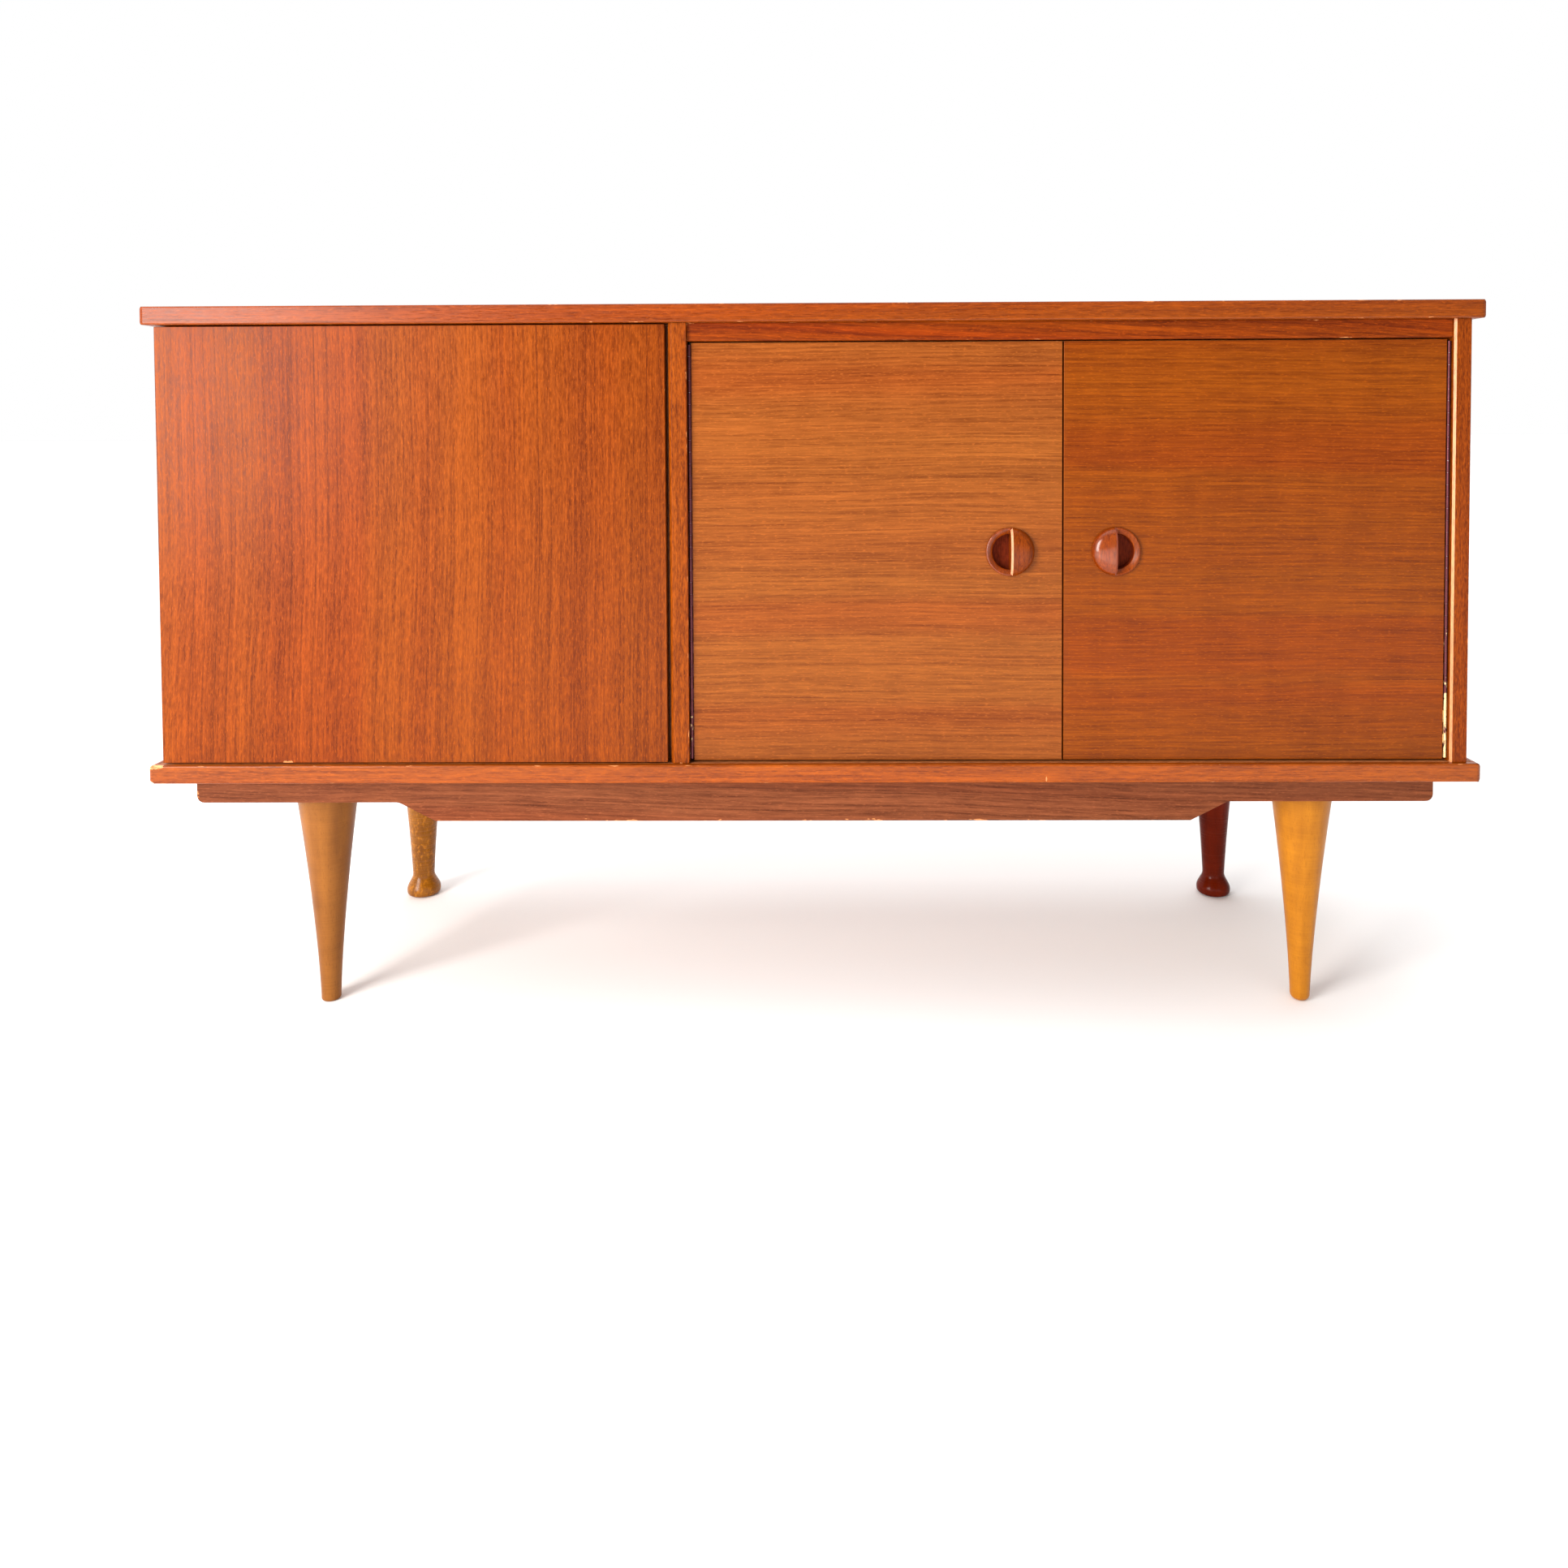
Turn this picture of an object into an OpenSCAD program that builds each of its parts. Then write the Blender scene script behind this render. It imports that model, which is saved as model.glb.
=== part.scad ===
// Low television sideboard in teak: one overlay door on the left, a pair of inset doors on the right,
// three continuous hinges, and a shaped apron frame on four screw-in legs.
// The origin is on the floor under the middle of the top board. X runs along the front from left to right,
// Y from front to back and Z up.

/* [Carcass] */
// Width over the top board
cabinet_w = 1450; // [1440:1:1500]
// Depth over the top board
cabinet_d = 430; // [425:1:460]
// Height from the floor to the top surface
cabinet_h = 795; // [785:1:815]
// Thickness of the top and bottom boards
board_t = 20; // [19:1:22]
// Thickness of the side panels
panel_t = 18; // [18:1:20]
// Thickness of the upright between the two compartments
divider_t = 20; // [20:1:22]
// How far the boards pass the side panels
side_overhang = 14; // [12:1:18]
// How far the upright edges stand back from the front of the boards
front_setback = 6; // [4:0.5:8]
// Width of the solid strips glued round the boards
lipping_w = 8; // [7:0.5:10]
// Rounding of the board ends
end_r = 5.5; // [3:0.5:7]
// Rounding of the boards' front corners, seen from above
corner_r = 6.5; // [3:0.5:7]
// Rounding of the long front edges
arris_r = 2; // [1:0.5:3]

/* [Doors] */
// Thickness of every door
door_t = 18; // [18:0.5:19]
// Width of the left door
left_door_w = 554.5; // [545:0.5:560]
// Gap beside the left door that fingers reach into
finger_gap = 3.5; // [3:0.5:5]
// Gap above and below each door
door_gap = 1.5; // [1:0.25:2.5]
// Place of the line where the two inset doors meet
meeting_x = 275; // [262:1:285]
// Gap between the two inset doors
meeting_gap = 1.6; // [1.2:0.2:2.4]
// How far the inset doors stand behind the upright edges
door_inset = 7; // [5:0.5:8]
// Height of the rail over the inset doors
rail_h = 20; // [18:1:24]

/* [Handles] */
// Radius of the round handles
handle_r = 26.5; // [25:0.5:28]
// Height of the domed half over the door
dome_h = 12; // [9:0.5:12.5]
// Width of the slanted edge cut along the dome's straight side
dome_bevel = 3; // [1:0.5:4]
// Depth of the finger recess below the door's face
recess_d = 10; // [8:0.5:11]
// Distance from a handle's centre to the meeting line
handle_offset = 57.5; // [50:0.5:70]

/* [Base] */
// Length of the legs
leg_h = 245; // [235:1:260]
// Height of the base frame at the legs
frame_h = 30; // [28:1:34]
// Extra height of the apron in the middle
apron_drop = 21; // [12:1:30]
// Length of the apron
apron_w = 1374; // [1350:2:1390]
// How far the apron stands behind the front of the boards
apron_setback = 28; // [24:1:34]
// Distance from the middle of the cabinet to each leg
leg_x = 561; // [550:1:575]
// Radius of a leg at its top
leg_top_r = 33.5; // [30:0.5:36]
// Radius of a front leg near the floor
front_foot_r = 10.6; // [10:0.2:14]
// Radius of a rear leg above its flared foot
rear_foot_r = 13.6; // [11:0.2:15]

/* [Hidden] */
$fn = 48;

eps = 0.1;        // how far a cut passes the face it opens on
fit = 0.05;       // radial clearance of every pin, dowel and screw
teak = [0.72, 0.36, 0.14];
dark_teak = [0.50, 0.24, 0.12];
beech = [0.80, 0.53, 0.24];
pale_ply = [0.78, 0.62, 0.42];
brass = [0.80, 0.62, 0.30];
steel = [0.62, 0.63, 0.65];
brown_plastic = [0.20, 0.12, 0.08];

// Levels and faces of the carcass
x_end = cabinet_w / 2;
x_out = x_end - side_overhang;
x_in = x_out - panel_t;
y_front = -cabinet_d / 2;
y_back = cabinet_d / 2;
y_face = y_front + front_setback;
z_base = leg_h + frame_h;
z_floor = z_base + board_t;
z_ceiling = cabinet_h - board_t;

// Doors
left_gap = 2;                                   // behind the left door, filled by its hinge leaves
inset_gap = 4.5;                                // beside the inset doors, filled by the hinge barrel
left_x1 = -x_out + left_door_w;
y_left_back = y_face + door_t;
y_left_edge = y_left_back + left_gap;
div_x0 = left_x1 + finger_gap;
div_x1 = div_x0 + divider_t;
y_inset = y_face + door_inset;
y_inset_back = y_inset + door_t;
z_door0 = z_floor + door_gap;
z_left_top = z_ceiling - door_gap;
z_inset_top = z_ceiling - rail_h - door_gap;
middle_x0 = div_x1 + inset_gap;
middle_x1 = meeting_x - meeting_gap / 2;
right_x0 = meeting_x + meeting_gap / 2;
right_x1 = x_in - inset_gap;
stop_gap = 0.5;                                 // between a closed door and what it closes on
y_stop = y_inset_back + stop_gap;
finger_chamfer = 3.5;

// Handles
rim_r = 3.5;
neck_r = handle_r - 1.5;                        // of the part glued into the door
recess_floor_t = 4;
dome_power = 0.8;                               // 1 is an ellipse, and less is flatter in the middle
dome_rings = 14;

// Rail and battens inside
rail_setback = 4;
batten_t = 20;
batten_h = 38;
stop_w = 14;
stop_t = 18;

// Back panel
back_t = 4;
rebate_w = 8;
rebate_d = back_t + 1;
y_back_panel = y_back - rebate_d;
back_fit = 0.3;
nail_r = 0.7;
nail_l = 16;
nail_head_r = 1.8;
nail_head_h = 0.7;
long_nail_pitch = 165;
long_nail_n = 4;                                // to each side of the middle
upright_nail_pitch = 160;
upright_nail_end = 80;                          // from the bottom board to the first one

// Dowels
dowel_r = 4;
dowel_in_board = 12;
dowel_in_panel = 24;
dowel_y = [-150, -50, 60, 160];
rail_dowel_r = 3;
rail_dowel_in = 12;
rail_dowel_out = 18;
rail_dowel_y = 15;                              // behind the upright edges
upright_x = [-(x_in + panel_t / 2), div_x0 + divider_t / 2, x_in + panel_t / 2];

// Shelves
shelf_t = 16;
shelf_gap = 1.5;
shelf_front = -165;
shelf_back_gap = 5;
shelf_back = y_back_panel - shelf_back_gap;
pin_r = 2.5;
pin_in = 8;
pin_out = 8;
collar_r = 4;
collar_t = 1.2;
pin_y = [-120, 160];
pin_z = 540;
pin_step = 40;
shelf_z = pin_z + pin_r + fit;

// Continuous hinges
barrel_r = 1.9;
hinge_pin_r = 0.95;
leaf_t = 0.8;
leaf_w = 14.5;
leaf_clear = 0.4;                               // between a leaf and the other leaf's knuckles
leaf_lap = 0.5;                                 // of a knuckle's tongue into its leaf
knuckle_gap = 0.3;
knuckle_l = 12.9;
hinge_inset = 2;                                // from a door's ends to its hinge
hinge_screw_u = 9;
hinge_screw_end = 25;
hinge_screw_n = 7;
left_axis_x = -x_out - barrel_r - 0.2;
left_axis_y = y_left_back + left_gap / 2;
middle_axis_x = div_x1 + inset_gap / 2;
right_axis_x = x_in - inset_gap / 2;
z_hinge0 = z_door0 + hinge_inset;
left_hinge_l = z_left_top - hinge_inset - z_hinge0;
inset_hinge_l = z_inset_top - hinge_inset - z_hinge0;

// Wood screws
screw_r = 1.4;
screw_head_r = 2.5;
screw_head_h = 1.2;
screw_l = 12;
screw_tip = 3;
slot_w = 0.6;
slot_d = 0.5;

// Magnetic catches and their keepers
catch_w = 32;
catch_d = 15;
catch_h = 14;
flange_w = 46;
flange_t = 2.5;
flange_inset = 2;                               // behind the catch's face
catch_gap = 0.7;                                // from a keeper to the catch's face
pole_out = 0.3;
pole_t = 1.7;
magnet_w = 25.6;
magnet_d = 9;
magnet_h = 5.5;
pocket_w = magnet_w + 0.4;
pocket_h = magnet_h + 2 * pole_t + 0.4;
keeper_w = 30;
keeper_h = 11;
keeper_t = 1.2;
catch_ear = 19.5;
keeper_drop = 7.7;                              // from a catch's top to the middle of its keeper
left_catch_x = left_x1 - 35;
pair_catch_x = 32;
z_batten = z_ceiling - batten_h;

// Base frame
frame_t = 20;
y_apron = y_front + apron_setback;
y_frame0 = y_apron + frame_t;
rear_rail_setback = 8;                          // in front of the back of the boards
y_frame1 = y_back - rear_rail_setback - frame_t;
leg_batten_w = 80;
apron_low_x = 420;                              // half the length of the apron's deep part
apron_high_x = 461;                             // where the sloped ends reach the shallow part
apron_corner_r = 8;
apron_fillet_r = 14;
front_leg_back = 75;                            // from the front of the boards to the front legs
rear_leg_back = 374;
front_leg_y = y_front + front_leg_back;
rear_leg_y = y_front + rear_leg_back;
leg_power = 1.4;                                // how quickly a leg's taper fades towards the floor
leg_rings = 24;
left_foot_round = 3;                            // rounding under the front left foot
right_foot_round = 7;
rear_foot_round = 6;
foot_flare = 9;
foot_flare_z = 30;
foot_full_z = 8;
bolt_r = 4;
bolt_in_leg = 40;
bolt_in_batten = 24;
insert_r = 5.5;
insert_flange_r = 10;
insert_flange_t = 1.6;
insert_l = 21;
base_screw_r = 2.2;
base_screw_head_r = 4.2;
base_screw_head_h = 2.6;
base_screw_l = frame_h + 15;
batten_screw_y = [-70, 10, 90];
rail_screw_x = [apron_w / 2 - 45, 300];
side_screw_y = [-110, 110];
base_dowel_out = 20;
batten_dowel_x = 25;

// Points on an arc about c, from angle a0 to a1
function arc(c, r, a0, a1, n = 6) =
    [for (i = [0:n]) c + r * [cos(a0 + (a1 - a0) * i / n), sin(a0 + (a1 - a0) * i / n)]];

// A box between two corners
module block(a, b) {
    translate(a) cube(b - a);
}

// An outline in Y and Z, drawn out along X from x0 to x1
module along_x(x0, x1) {
    translate([x0, 0, 0]) rotate([90, 0, 90]) linear_extrude(x1 - x0) children();
}

// An outline in X and Z, drawn out along Y from y0 to y1
module along_y(y0, y1) {
    translate([0, y1, 0]) rotate([90, 0, 0]) linear_extrude(y1 - y0) children();
}

// A cylinder along Z, Y or X that starts at p
module rod_z(p, r, l) {
    translate(p) cylinder(r = r, h = l);
}

module rod_y(p, r, l) {
    translate(p) rotate([-90, 0, 0]) cylinder(r = r, h = l);
}

module rod_x(p, r, l) {
    translate(p) rotate([0, 90, 0]) cylinder(r = r, h = l);
}

// Countersunk wood screw with its head's face at the origin, pointing down
module screw(l, r, head_r, head_h) {
    difference() {
        union() {
            translate([0, 0, -head_h]) cylinder(r1 = r, r2 = head_r, h = head_h);
            translate([0, 0, screw_tip - l]) cylinder(r = r, h = l - screw_tip - head_h + 0.01);
            translate([0, 0, -l]) cylinder(r1 = r / 6, r2 = r, h = screw_tip + 0.01);
        }
        translate([-head_r - eps, -slot_w / 2, -slot_d]) cube([2 * head_r + 2 * eps, slot_w, slot_d + eps]);
    }
}

// The hole that such a screw fills
module screw_hole(l, r, head_r, head_h) {
    translate([0, 0, -head_h]) cylinder(r1 = r + fit, r2 = head_r + fit, h = head_h + 0.01);
    translate([0, 0, -l - fit]) cylinder(r = r + fit, h = l);
    cylinder(r = head_r + fit, h = 0.5);
}

module small_screw() {
    screw(screw_l, screw_r, screw_head_r, screw_head_h);
}

module small_screw_hole() {
    screw_hole(screw_l, screw_r, screw_head_r, screw_head_h);
}

// ---------- Boards with their solid lippings ----------

// Outer form of a board from z0 up, with its rounded ends and front edges
module board_form(z0) {
    z1 = z0 + board_t;
    intersection() {
        along_x(-x_end, x_end) polygon(concat(
            [[y_back, z0]],
            arc([y_front + arris_r, z0 + arris_r], arris_r, 270, 180),
            arc([y_front + arris_r, z1 - arris_r], arris_r, 180, 90),
            [[y_back, z1]]));
        along_y(y_front, y_back) polygon(concat(
            arc([x_end - end_r, z0 + end_r], end_r, 270, 360),
            arc([x_end - end_r, z1 - end_r], end_r, 0, 90),
            arc([end_r - x_end, z1 - end_r], end_r, 90, 180),
            arc([end_r - x_end, z0 + end_r], end_r, 180, 270)));
        translate([0, 0, z0]) linear_extrude(board_t) polygon(concat(
            arc([corner_r - x_end, y_front + corner_r], corner_r, 180, 270),
            arc([x_end - corner_r, y_front + corner_r], corner_r, 270, 360),
            [[x_end, y_back], [-x_end, y_back]]));
    }
}

module front_lipping(z0) {
    intersection() {
        board_form(z0);
        block([-x_end, y_front, z0], [x_end, y_front + lipping_w, z0 + board_t]);
    }
}

module end_lipping(z0, side) {
    intersection() {
        board_form(z0);
        translate([side * (x_end - lipping_w / 2) - lipping_w / 2, y_front + lipping_w, z0])
            cube([lipping_w, cabinet_d - lipping_w, board_t]);
    }
}

module board_core(z0) {
    block([lipping_w - x_end, y_front + lipping_w, z0], [x_end - lipping_w, y_back, z0 + board_t]);
}

// Step in the back edge of a board that takes the back panel
module board_rebate(z) {
    block([-x_in - rebate_w, y_back_panel, z], [x_in + rebate_w, y_back + eps, z + rebate_w + eps]);
}

module dowel_holes() {
    r = dowel_r + fit;
    for (x = upright_x, y = dowel_y) {
        rod_z([x, y, z_floor - dowel_in_board - 0.5], r, dowel_in_board + dowel_in_panel + 1);
        rod_z([x, y, z_ceiling - dowel_in_panel - 0.5], r, dowel_in_board + dowel_in_panel + 1);
    }
}

module carcass_dowels() {
    color(beech) {
        for (x = upright_x, y = dowel_y) {
            rod_z([x, y, z_floor - dowel_in_board], dowel_r, dowel_in_board + dowel_in_panel);
            rod_z([x, y, z_ceiling - dowel_in_panel], dowel_r, dowel_in_board + dowel_in_panel);
        }
        for (x = [div_x1, x_in]) rail_dowel(x, 0);
    }
}

// Dowel between an end of the top rail and the upright whose face is at x
module rail_dowel(x, slack) {
    inward = x < 0 ? 1 : -1;
    mid = x + inward * (rail_dowel_out - rail_dowel_in) / 2;
    l = rail_dowel_out + rail_dowel_in + 2 * slack;
    r = rail_dowel_r + (slack > 0 ? fit : 0);
    rod_x([mid - l / 2, y_face + rail_dowel_y, z_ceiling - rail_h / 2], r, l);
}

module top_board() {
    color(teak) difference() {
        board_core(z_ceiling);
        dowel_holes();
        board_rebate(z_ceiling - eps);
        catch_screw_places(left_catch_x, y_left_catch(), z_ceiling) small_screw_hole();
    }
}

module top_front_lipping() {
    color(teak) front_lipping(z_ceiling);
}

module top_left_lipping() {
    color(teak) end_lipping(z_ceiling, -1);
}

module top_right_lipping() {
    color(teak) end_lipping(z_ceiling, 1);
}

module bottom_board() {
    color(teak) difference() {
        board_core(z_base);
        dowel_holes();
        board_rebate(z_floor - rebate_w);
        base_screw_places() base_screw_hole();
    }
}

module bottom_front_lipping() {
    color(teak) front_lipping(z_base);
}

module bottom_left_lipping() {
    color(teak) end_lipping(z_base, -1);
}

module bottom_right_lipping() {
    color(teak) end_lipping(z_base, 1);
}

// ---------- Uprights ----------

// Holes for the shelf pins in the face at x, running towards dir
module pin_holes(x, dir) {
    for (y = pin_y, step = [-1:1])
        translate([x - dir * eps, y, pin_z + step * pin_step]) rotate([0, dir * 90, 0])
            cylinder(r = pin_r + fit, h = pin_in + 0.5 + eps);
}

module side_rebate(side) {
    x = side * (x_in + rebate_w / 2) - rebate_w / 2;
    translate([x - (side > 0 ? eps : 0), y_back_panel, z_floor - eps])
        cube([rebate_w + eps, rebate_d + eps, z_ceiling - z_floor + 2 * eps]);
}

module left_side_panel() {
    color(teak) difference() {
        block([-x_out, y_left_edge, z_floor], [-x_in, y_back, z_ceiling]);
        side_rebate(-1);
        dowel_holes();
        pin_holes(-x_in, -1);
        at_left_hinge() leaf_screw_places(left_hinge_l, 1, left_gap) small_screw_hole();
    }
}

module right_side_panel() {
    color(teak) difference() {
        block([x_in, y_face, z_floor], [x_out, y_back, z_ceiling]);
        side_rebate(1);
        dowel_holes();
        pin_holes(x_in, 1);
        rail_dowel(x_in, 0.5);
        at_right_hinge() leaf_screw_places(inset_hinge_l, -1, inset_gap) small_screw_hole();
    }
}

module divider_panel() {
    color(teak) difference() {
        block([div_x0, y_face, z_floor], [div_x1, y_back_panel, z_ceiling]);
        translate([0, 0, z_floor - eps]) linear_extrude(z_ceiling - z_floor + 2 * eps) polygon([
            [div_x0 - 1, y_face - 1],
            [div_x0 + finger_chamfer + 1, y_face - 1],
            [div_x0 - 1, y_face + finger_chamfer + 1]]);
        dowel_holes();
        pin_holes(div_x0, 1);
        pin_holes(div_x1, -1);
        rail_dowel(div_x1, 0.5);
        at_middle_hinge() leaf_screw_places(inset_hinge_l, 1, inset_gap) small_screw_hole();
    }
}

module top_rail() {
    y0 = y_face + rail_setback;
    z0 = z_ceiling - rail_h;
    color(teak) difference() {
        along_x(div_x1, x_in) polygon(concat(
            [[y_stop, z0]],
            arc([y0 + arris_r, z0 + arris_r], arris_r, 270, 180),
            [[y0, z_ceiling], [y_stop, z_ceiling]]));
        rail_dowel(div_x1, 0.5);
        rail_dowel(x_in, 0.5);
    }
}

module top_stop_batten() {
    color(beech) difference() {
        block([div_x1, y_stop, z_batten], [x_in, y_stop + batten_t, z_ceiling]);
        for (side = [-1, 1])
            catch_screw_places(meeting_x + side * pair_catch_x, y_pair_catch(), z_batten) small_screw_hole();
    }
}

module left_door_stop() {
    y0 = y_left_back + stop_gap;
    color(teak) block([div_x0 - stop_w, y0, z_floor], [div_x0, y0 + stop_t, z_ceiling]);
}

// ---------- Back ----------

module back_panel() {
    x = x_in + rebate_w - back_fit;
    color(pale_ply) block([-x, y_back_panel, z_floor - rebate_w + back_fit],
        [x, y_back_panel + back_t, z_ceiling + rebate_w - back_fit]);
}

module nail(x, z) {
    y = y_back_panel + back_t;
    rod_y([x, y + nail_head_h - nail_l, z], nail_r, nail_l - nail_head_h + 0.01);
    rod_y([x, y, z], nail_head_r, nail_head_h);
}

module back_panel_nails() {
    color(steel) {
        for (i = [-long_nail_n:long_nail_n], z = [z_floor - rebate_w / 2, z_ceiling + rebate_w / 2])
            nail(i * long_nail_pitch, z);
        for (z = [z_floor + upright_nail_end:upright_nail_pitch:z_ceiling - rebate_w]) {
            for (side = [-1, 1]) nail(side * (x_in + rebate_w / 2), z);
            nail(div_x0 + divider_t / 2, z);
        }
    }
}

// ---------- Shelves ----------

module shelf(x0, x1) {
    color(teak) block([x0 + shelf_gap, shelf_front, shelf_z],
        [x1 - shelf_gap, shelf_back, shelf_z + shelf_t]);
}

module left_shelf() {
    shelf(-x_in, div_x0);
}

module right_shelf() {
    shelf(div_x1, x_in);
}

// Turned pin in the face at x, standing out towards dir
module shelf_pin(x, y, dir) {
    translate([x, y, pin_z]) rotate([0, dir * 90, 0]) {
        translate([0, 0, -pin_in]) cylinder(r = pin_r, h = pin_in + pin_out);
        cylinder(r = collar_r, h = collar_t);
    }
}

module shelf_pins() {
    color(brass) for (y = pin_y) {
        shelf_pin(-x_in, y, 1);
        shelf_pin(div_x0, y, -1);
        shelf_pin(div_x1, y, 1);
        shelf_pin(x_in, y, -1);
    }
}

// ---------- Continuous hinges ----------
// In a hinge's own frame the pin lies on Z, and a leaf runs along +X at a distance along Y.

module at_left_hinge() {
    translate([left_axis_x, left_axis_y, z_hinge0]) children();
}

module at_middle_hinge() {
    translate([middle_axis_x, y_inset, z_hinge0]) rotate([0, 0, 90]) children();
}

module at_right_hinge() {
    translate([right_axis_x, y_inset, z_hinge0]) rotate([0, 0, 90]) children();
}

// Places of a leaf's screws: side is 1 or -1, and gap is the space that both leaves fill when closed
module leaf_screw_places(l, side, gap) {
    step = (l - 2 * hinge_screw_end) / (hinge_screw_n - 1);
    for (i = [0:hinge_screw_n - 1])
        translate([hinge_screw_u, side * (gap / 2 - leaf_t), hinge_screw_end + i * step])
            rotate([side * 90, 0, 0]) children();
}

// Leaf with every second knuckle, starting with number first
module leaf(l, side, gap, first) {
    inner = gap / 2 - leaf_t;
    n = 2 * floor(l / knuckle_l / 2) + 1;
    pitch = l / n;
    y0 = side > 0 ? inner : -inner - leaf_t;
    color(brass) difference() {
        union() {
            translate([barrel_r + leaf_clear, y0, 0]) cube([leaf_w - barrel_r - leaf_clear, leaf_t, l]);
            for (i = [first:2:n - 1]) translate([0, 0, i * pitch + knuckle_gap / 2]) {
                cylinder(r = barrel_r, h = pitch - knuckle_gap);
                translate([0, y0, 0]) cube([barrel_r + leaf_clear + leaf_lap, leaf_t, pitch - knuckle_gap]);
            }
        }
        translate([0, 0, -1]) cylinder(r = hinge_pin_r + fit, h = l + 2);
        leaf_screw_places(l, side, gap) small_screw_hole();
    }
}

module hinge_pin(l) {
    color(steel) translate([0, 0, knuckle_gap]) cylinder(r = hinge_pin_r, h = l - 2 * knuckle_gap);
}

module left_hinge_frame_leaf() {
    at_left_hinge() leaf(left_hinge_l, 1, left_gap, 0);
}

module left_hinge_door_leaf() {
    at_left_hinge() leaf(left_hinge_l, -1, left_gap, 1);
}

module left_hinge_pin() {
    at_left_hinge() hinge_pin(left_hinge_l);
}

module middle_hinge_frame_leaf() {
    at_middle_hinge() leaf(inset_hinge_l, 1, inset_gap, 0);
}

module middle_hinge_door_leaf() {
    at_middle_hinge() leaf(inset_hinge_l, -1, inset_gap, 1);
}

module middle_hinge_pin() {
    at_middle_hinge() hinge_pin(inset_hinge_l);
}

module right_hinge_frame_leaf() {
    at_right_hinge() leaf(inset_hinge_l, -1, inset_gap, 0);
}

module right_hinge_door_leaf() {
    at_right_hinge() leaf(inset_hinge_l, 1, inset_gap, 1);
}

module right_hinge_pin() {
    at_right_hinge() hinge_pin(inset_hinge_l);
}

module hinge_frame_screws() {
    color(brass) {
        at_left_hinge() leaf_screw_places(left_hinge_l, 1, left_gap) small_screw();
        at_middle_hinge() leaf_screw_places(inset_hinge_l, 1, inset_gap) small_screw();
        at_right_hinge() leaf_screw_places(inset_hinge_l, -1, inset_gap) small_screw();
    }
}

// ---------- Doors ----------

module left_door() {
    color(teak) difference() {
        block([-x_out, y_face, z_door0], [left_x1, y_left_back, z_left_top]);
        at_left_hinge() leaf_screw_places(left_hinge_l, -1, left_gap) small_screw_hole();
        keeper_screw_place(left_catch_x, y_left_back, z_ceiling) small_screw_hole();
    }
}

// Blind hole in a door's face that a handle is glued into
module handle_bore(x) {
    rod_y([x, y_inset - eps, z_handle()], neck_r + fit, handle_depth() + fit + eps);
}

function z_handle() = (z_door0 + z_inset_top) / 2;
function handle_depth() = recess_d + recess_floor_t;

module middle_door() {
    color(teak) difference() {
        block([middle_x0, y_inset, z_door0], [middle_x1, y_inset_back, z_inset_top]);
        handle_bore(meeting_x - handle_offset);
        at_middle_hinge() leaf_screw_places(inset_hinge_l, -1, inset_gap) small_screw_hole();
        keeper_screw_place(meeting_x - pair_catch_x, y_inset_back, z_batten) small_screw_hole();
    }
}

module right_door() {
    color(teak) difference() {
        block([right_x0, y_inset, z_door0], [right_x1, y_inset_back, z_inset_top]);
        handle_bore(meeting_x + handle_offset);
        at_right_hinge() leaf_screw_places(inset_hinge_l, 1, inset_gap) small_screw_hole();
        keeper_screw_place(meeting_x + pair_catch_x, y_inset_back, z_batten) small_screw_hole();
    }
}

module left_door_screws() {
    color(brass) {
        at_left_hinge() leaf_screw_places(left_hinge_l, -1, left_gap) small_screw();
        keeper_screw_place(left_catch_x, y_left_back, z_ceiling) small_screw();
    }
}

module middle_door_screws() {
    color(brass) {
        at_middle_hinge() leaf_screw_places(inset_hinge_l, -1, inset_gap) small_screw();
        keeper_screw_place(meeting_x - pair_catch_x, y_inset_back, z_batten) small_screw();
    }
}

module right_door_screws() {
    color(brass) {
        at_right_hinge() leaf_screw_places(inset_hinge_l, 1, inset_gap) small_screw();
        keeper_screw_place(meeting_x + pair_catch_x, y_inset_back, z_batten) small_screw();
    }
}

// ---------- Turned handles: one half a dome, the other a finger recess inside a rounded rim ----------

// side is where the recess lies: -1 left, 1 right
module handle(x, side) {
    dome = [for (i = [0:dome_rings]) let (a = 90 * i / dome_rings)
        [handle_r * pow(cos(a), dome_power), dome_h * pow(sin(a), dome_power)]];
    big = 2 * handle_r;
    color(dark_teak) translate([x, y_inset, z_handle()]) rotate([90, 0, 0]) difference() {
        union() {
            translate([0, 0, -handle_depth()]) cylinder(r = neck_r, h = handle_depth());
            intersection() {
                rotate_extrude() translate([handle_r - rim_r, 0]) circle(r = rim_r, $fn = 32);
                translate([-big, -big, 0]) cube([2 * big, 2 * big, big]);
            }
            intersection() {
                rotate_extrude() polygon(concat([[0, 0]], dome));
                along_y(-big, big) polygon([[0, -1], [-side * big, -1], [-side * big, dome_h + 1],
                    [-side * (dome_bevel + 1), dome_h + 1], [0, dome_h - dome_bevel]]);
            }
        }
        intersection() {
            translate([0, 0, -recess_d]) cylinder(r = handle_r - 2 * rim_r, h = recess_d + rim_r + 1);
            translate([side > 0 ? 0 : -big, -big, -big]) cube([big, 2 * big, 2 * big]);
        }
    }
}

module middle_handle() {
    handle(meeting_x - handle_offset, -1);
}

module right_handle() {
    handle(meeting_x + handle_offset, 1);
}

// ---------- Magnetic catches ----------

function y_left_catch() = y_left_back + keeper_t + catch_gap;
function y_pair_catch() = y_inset_back + keeper_t + catch_gap;

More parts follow.
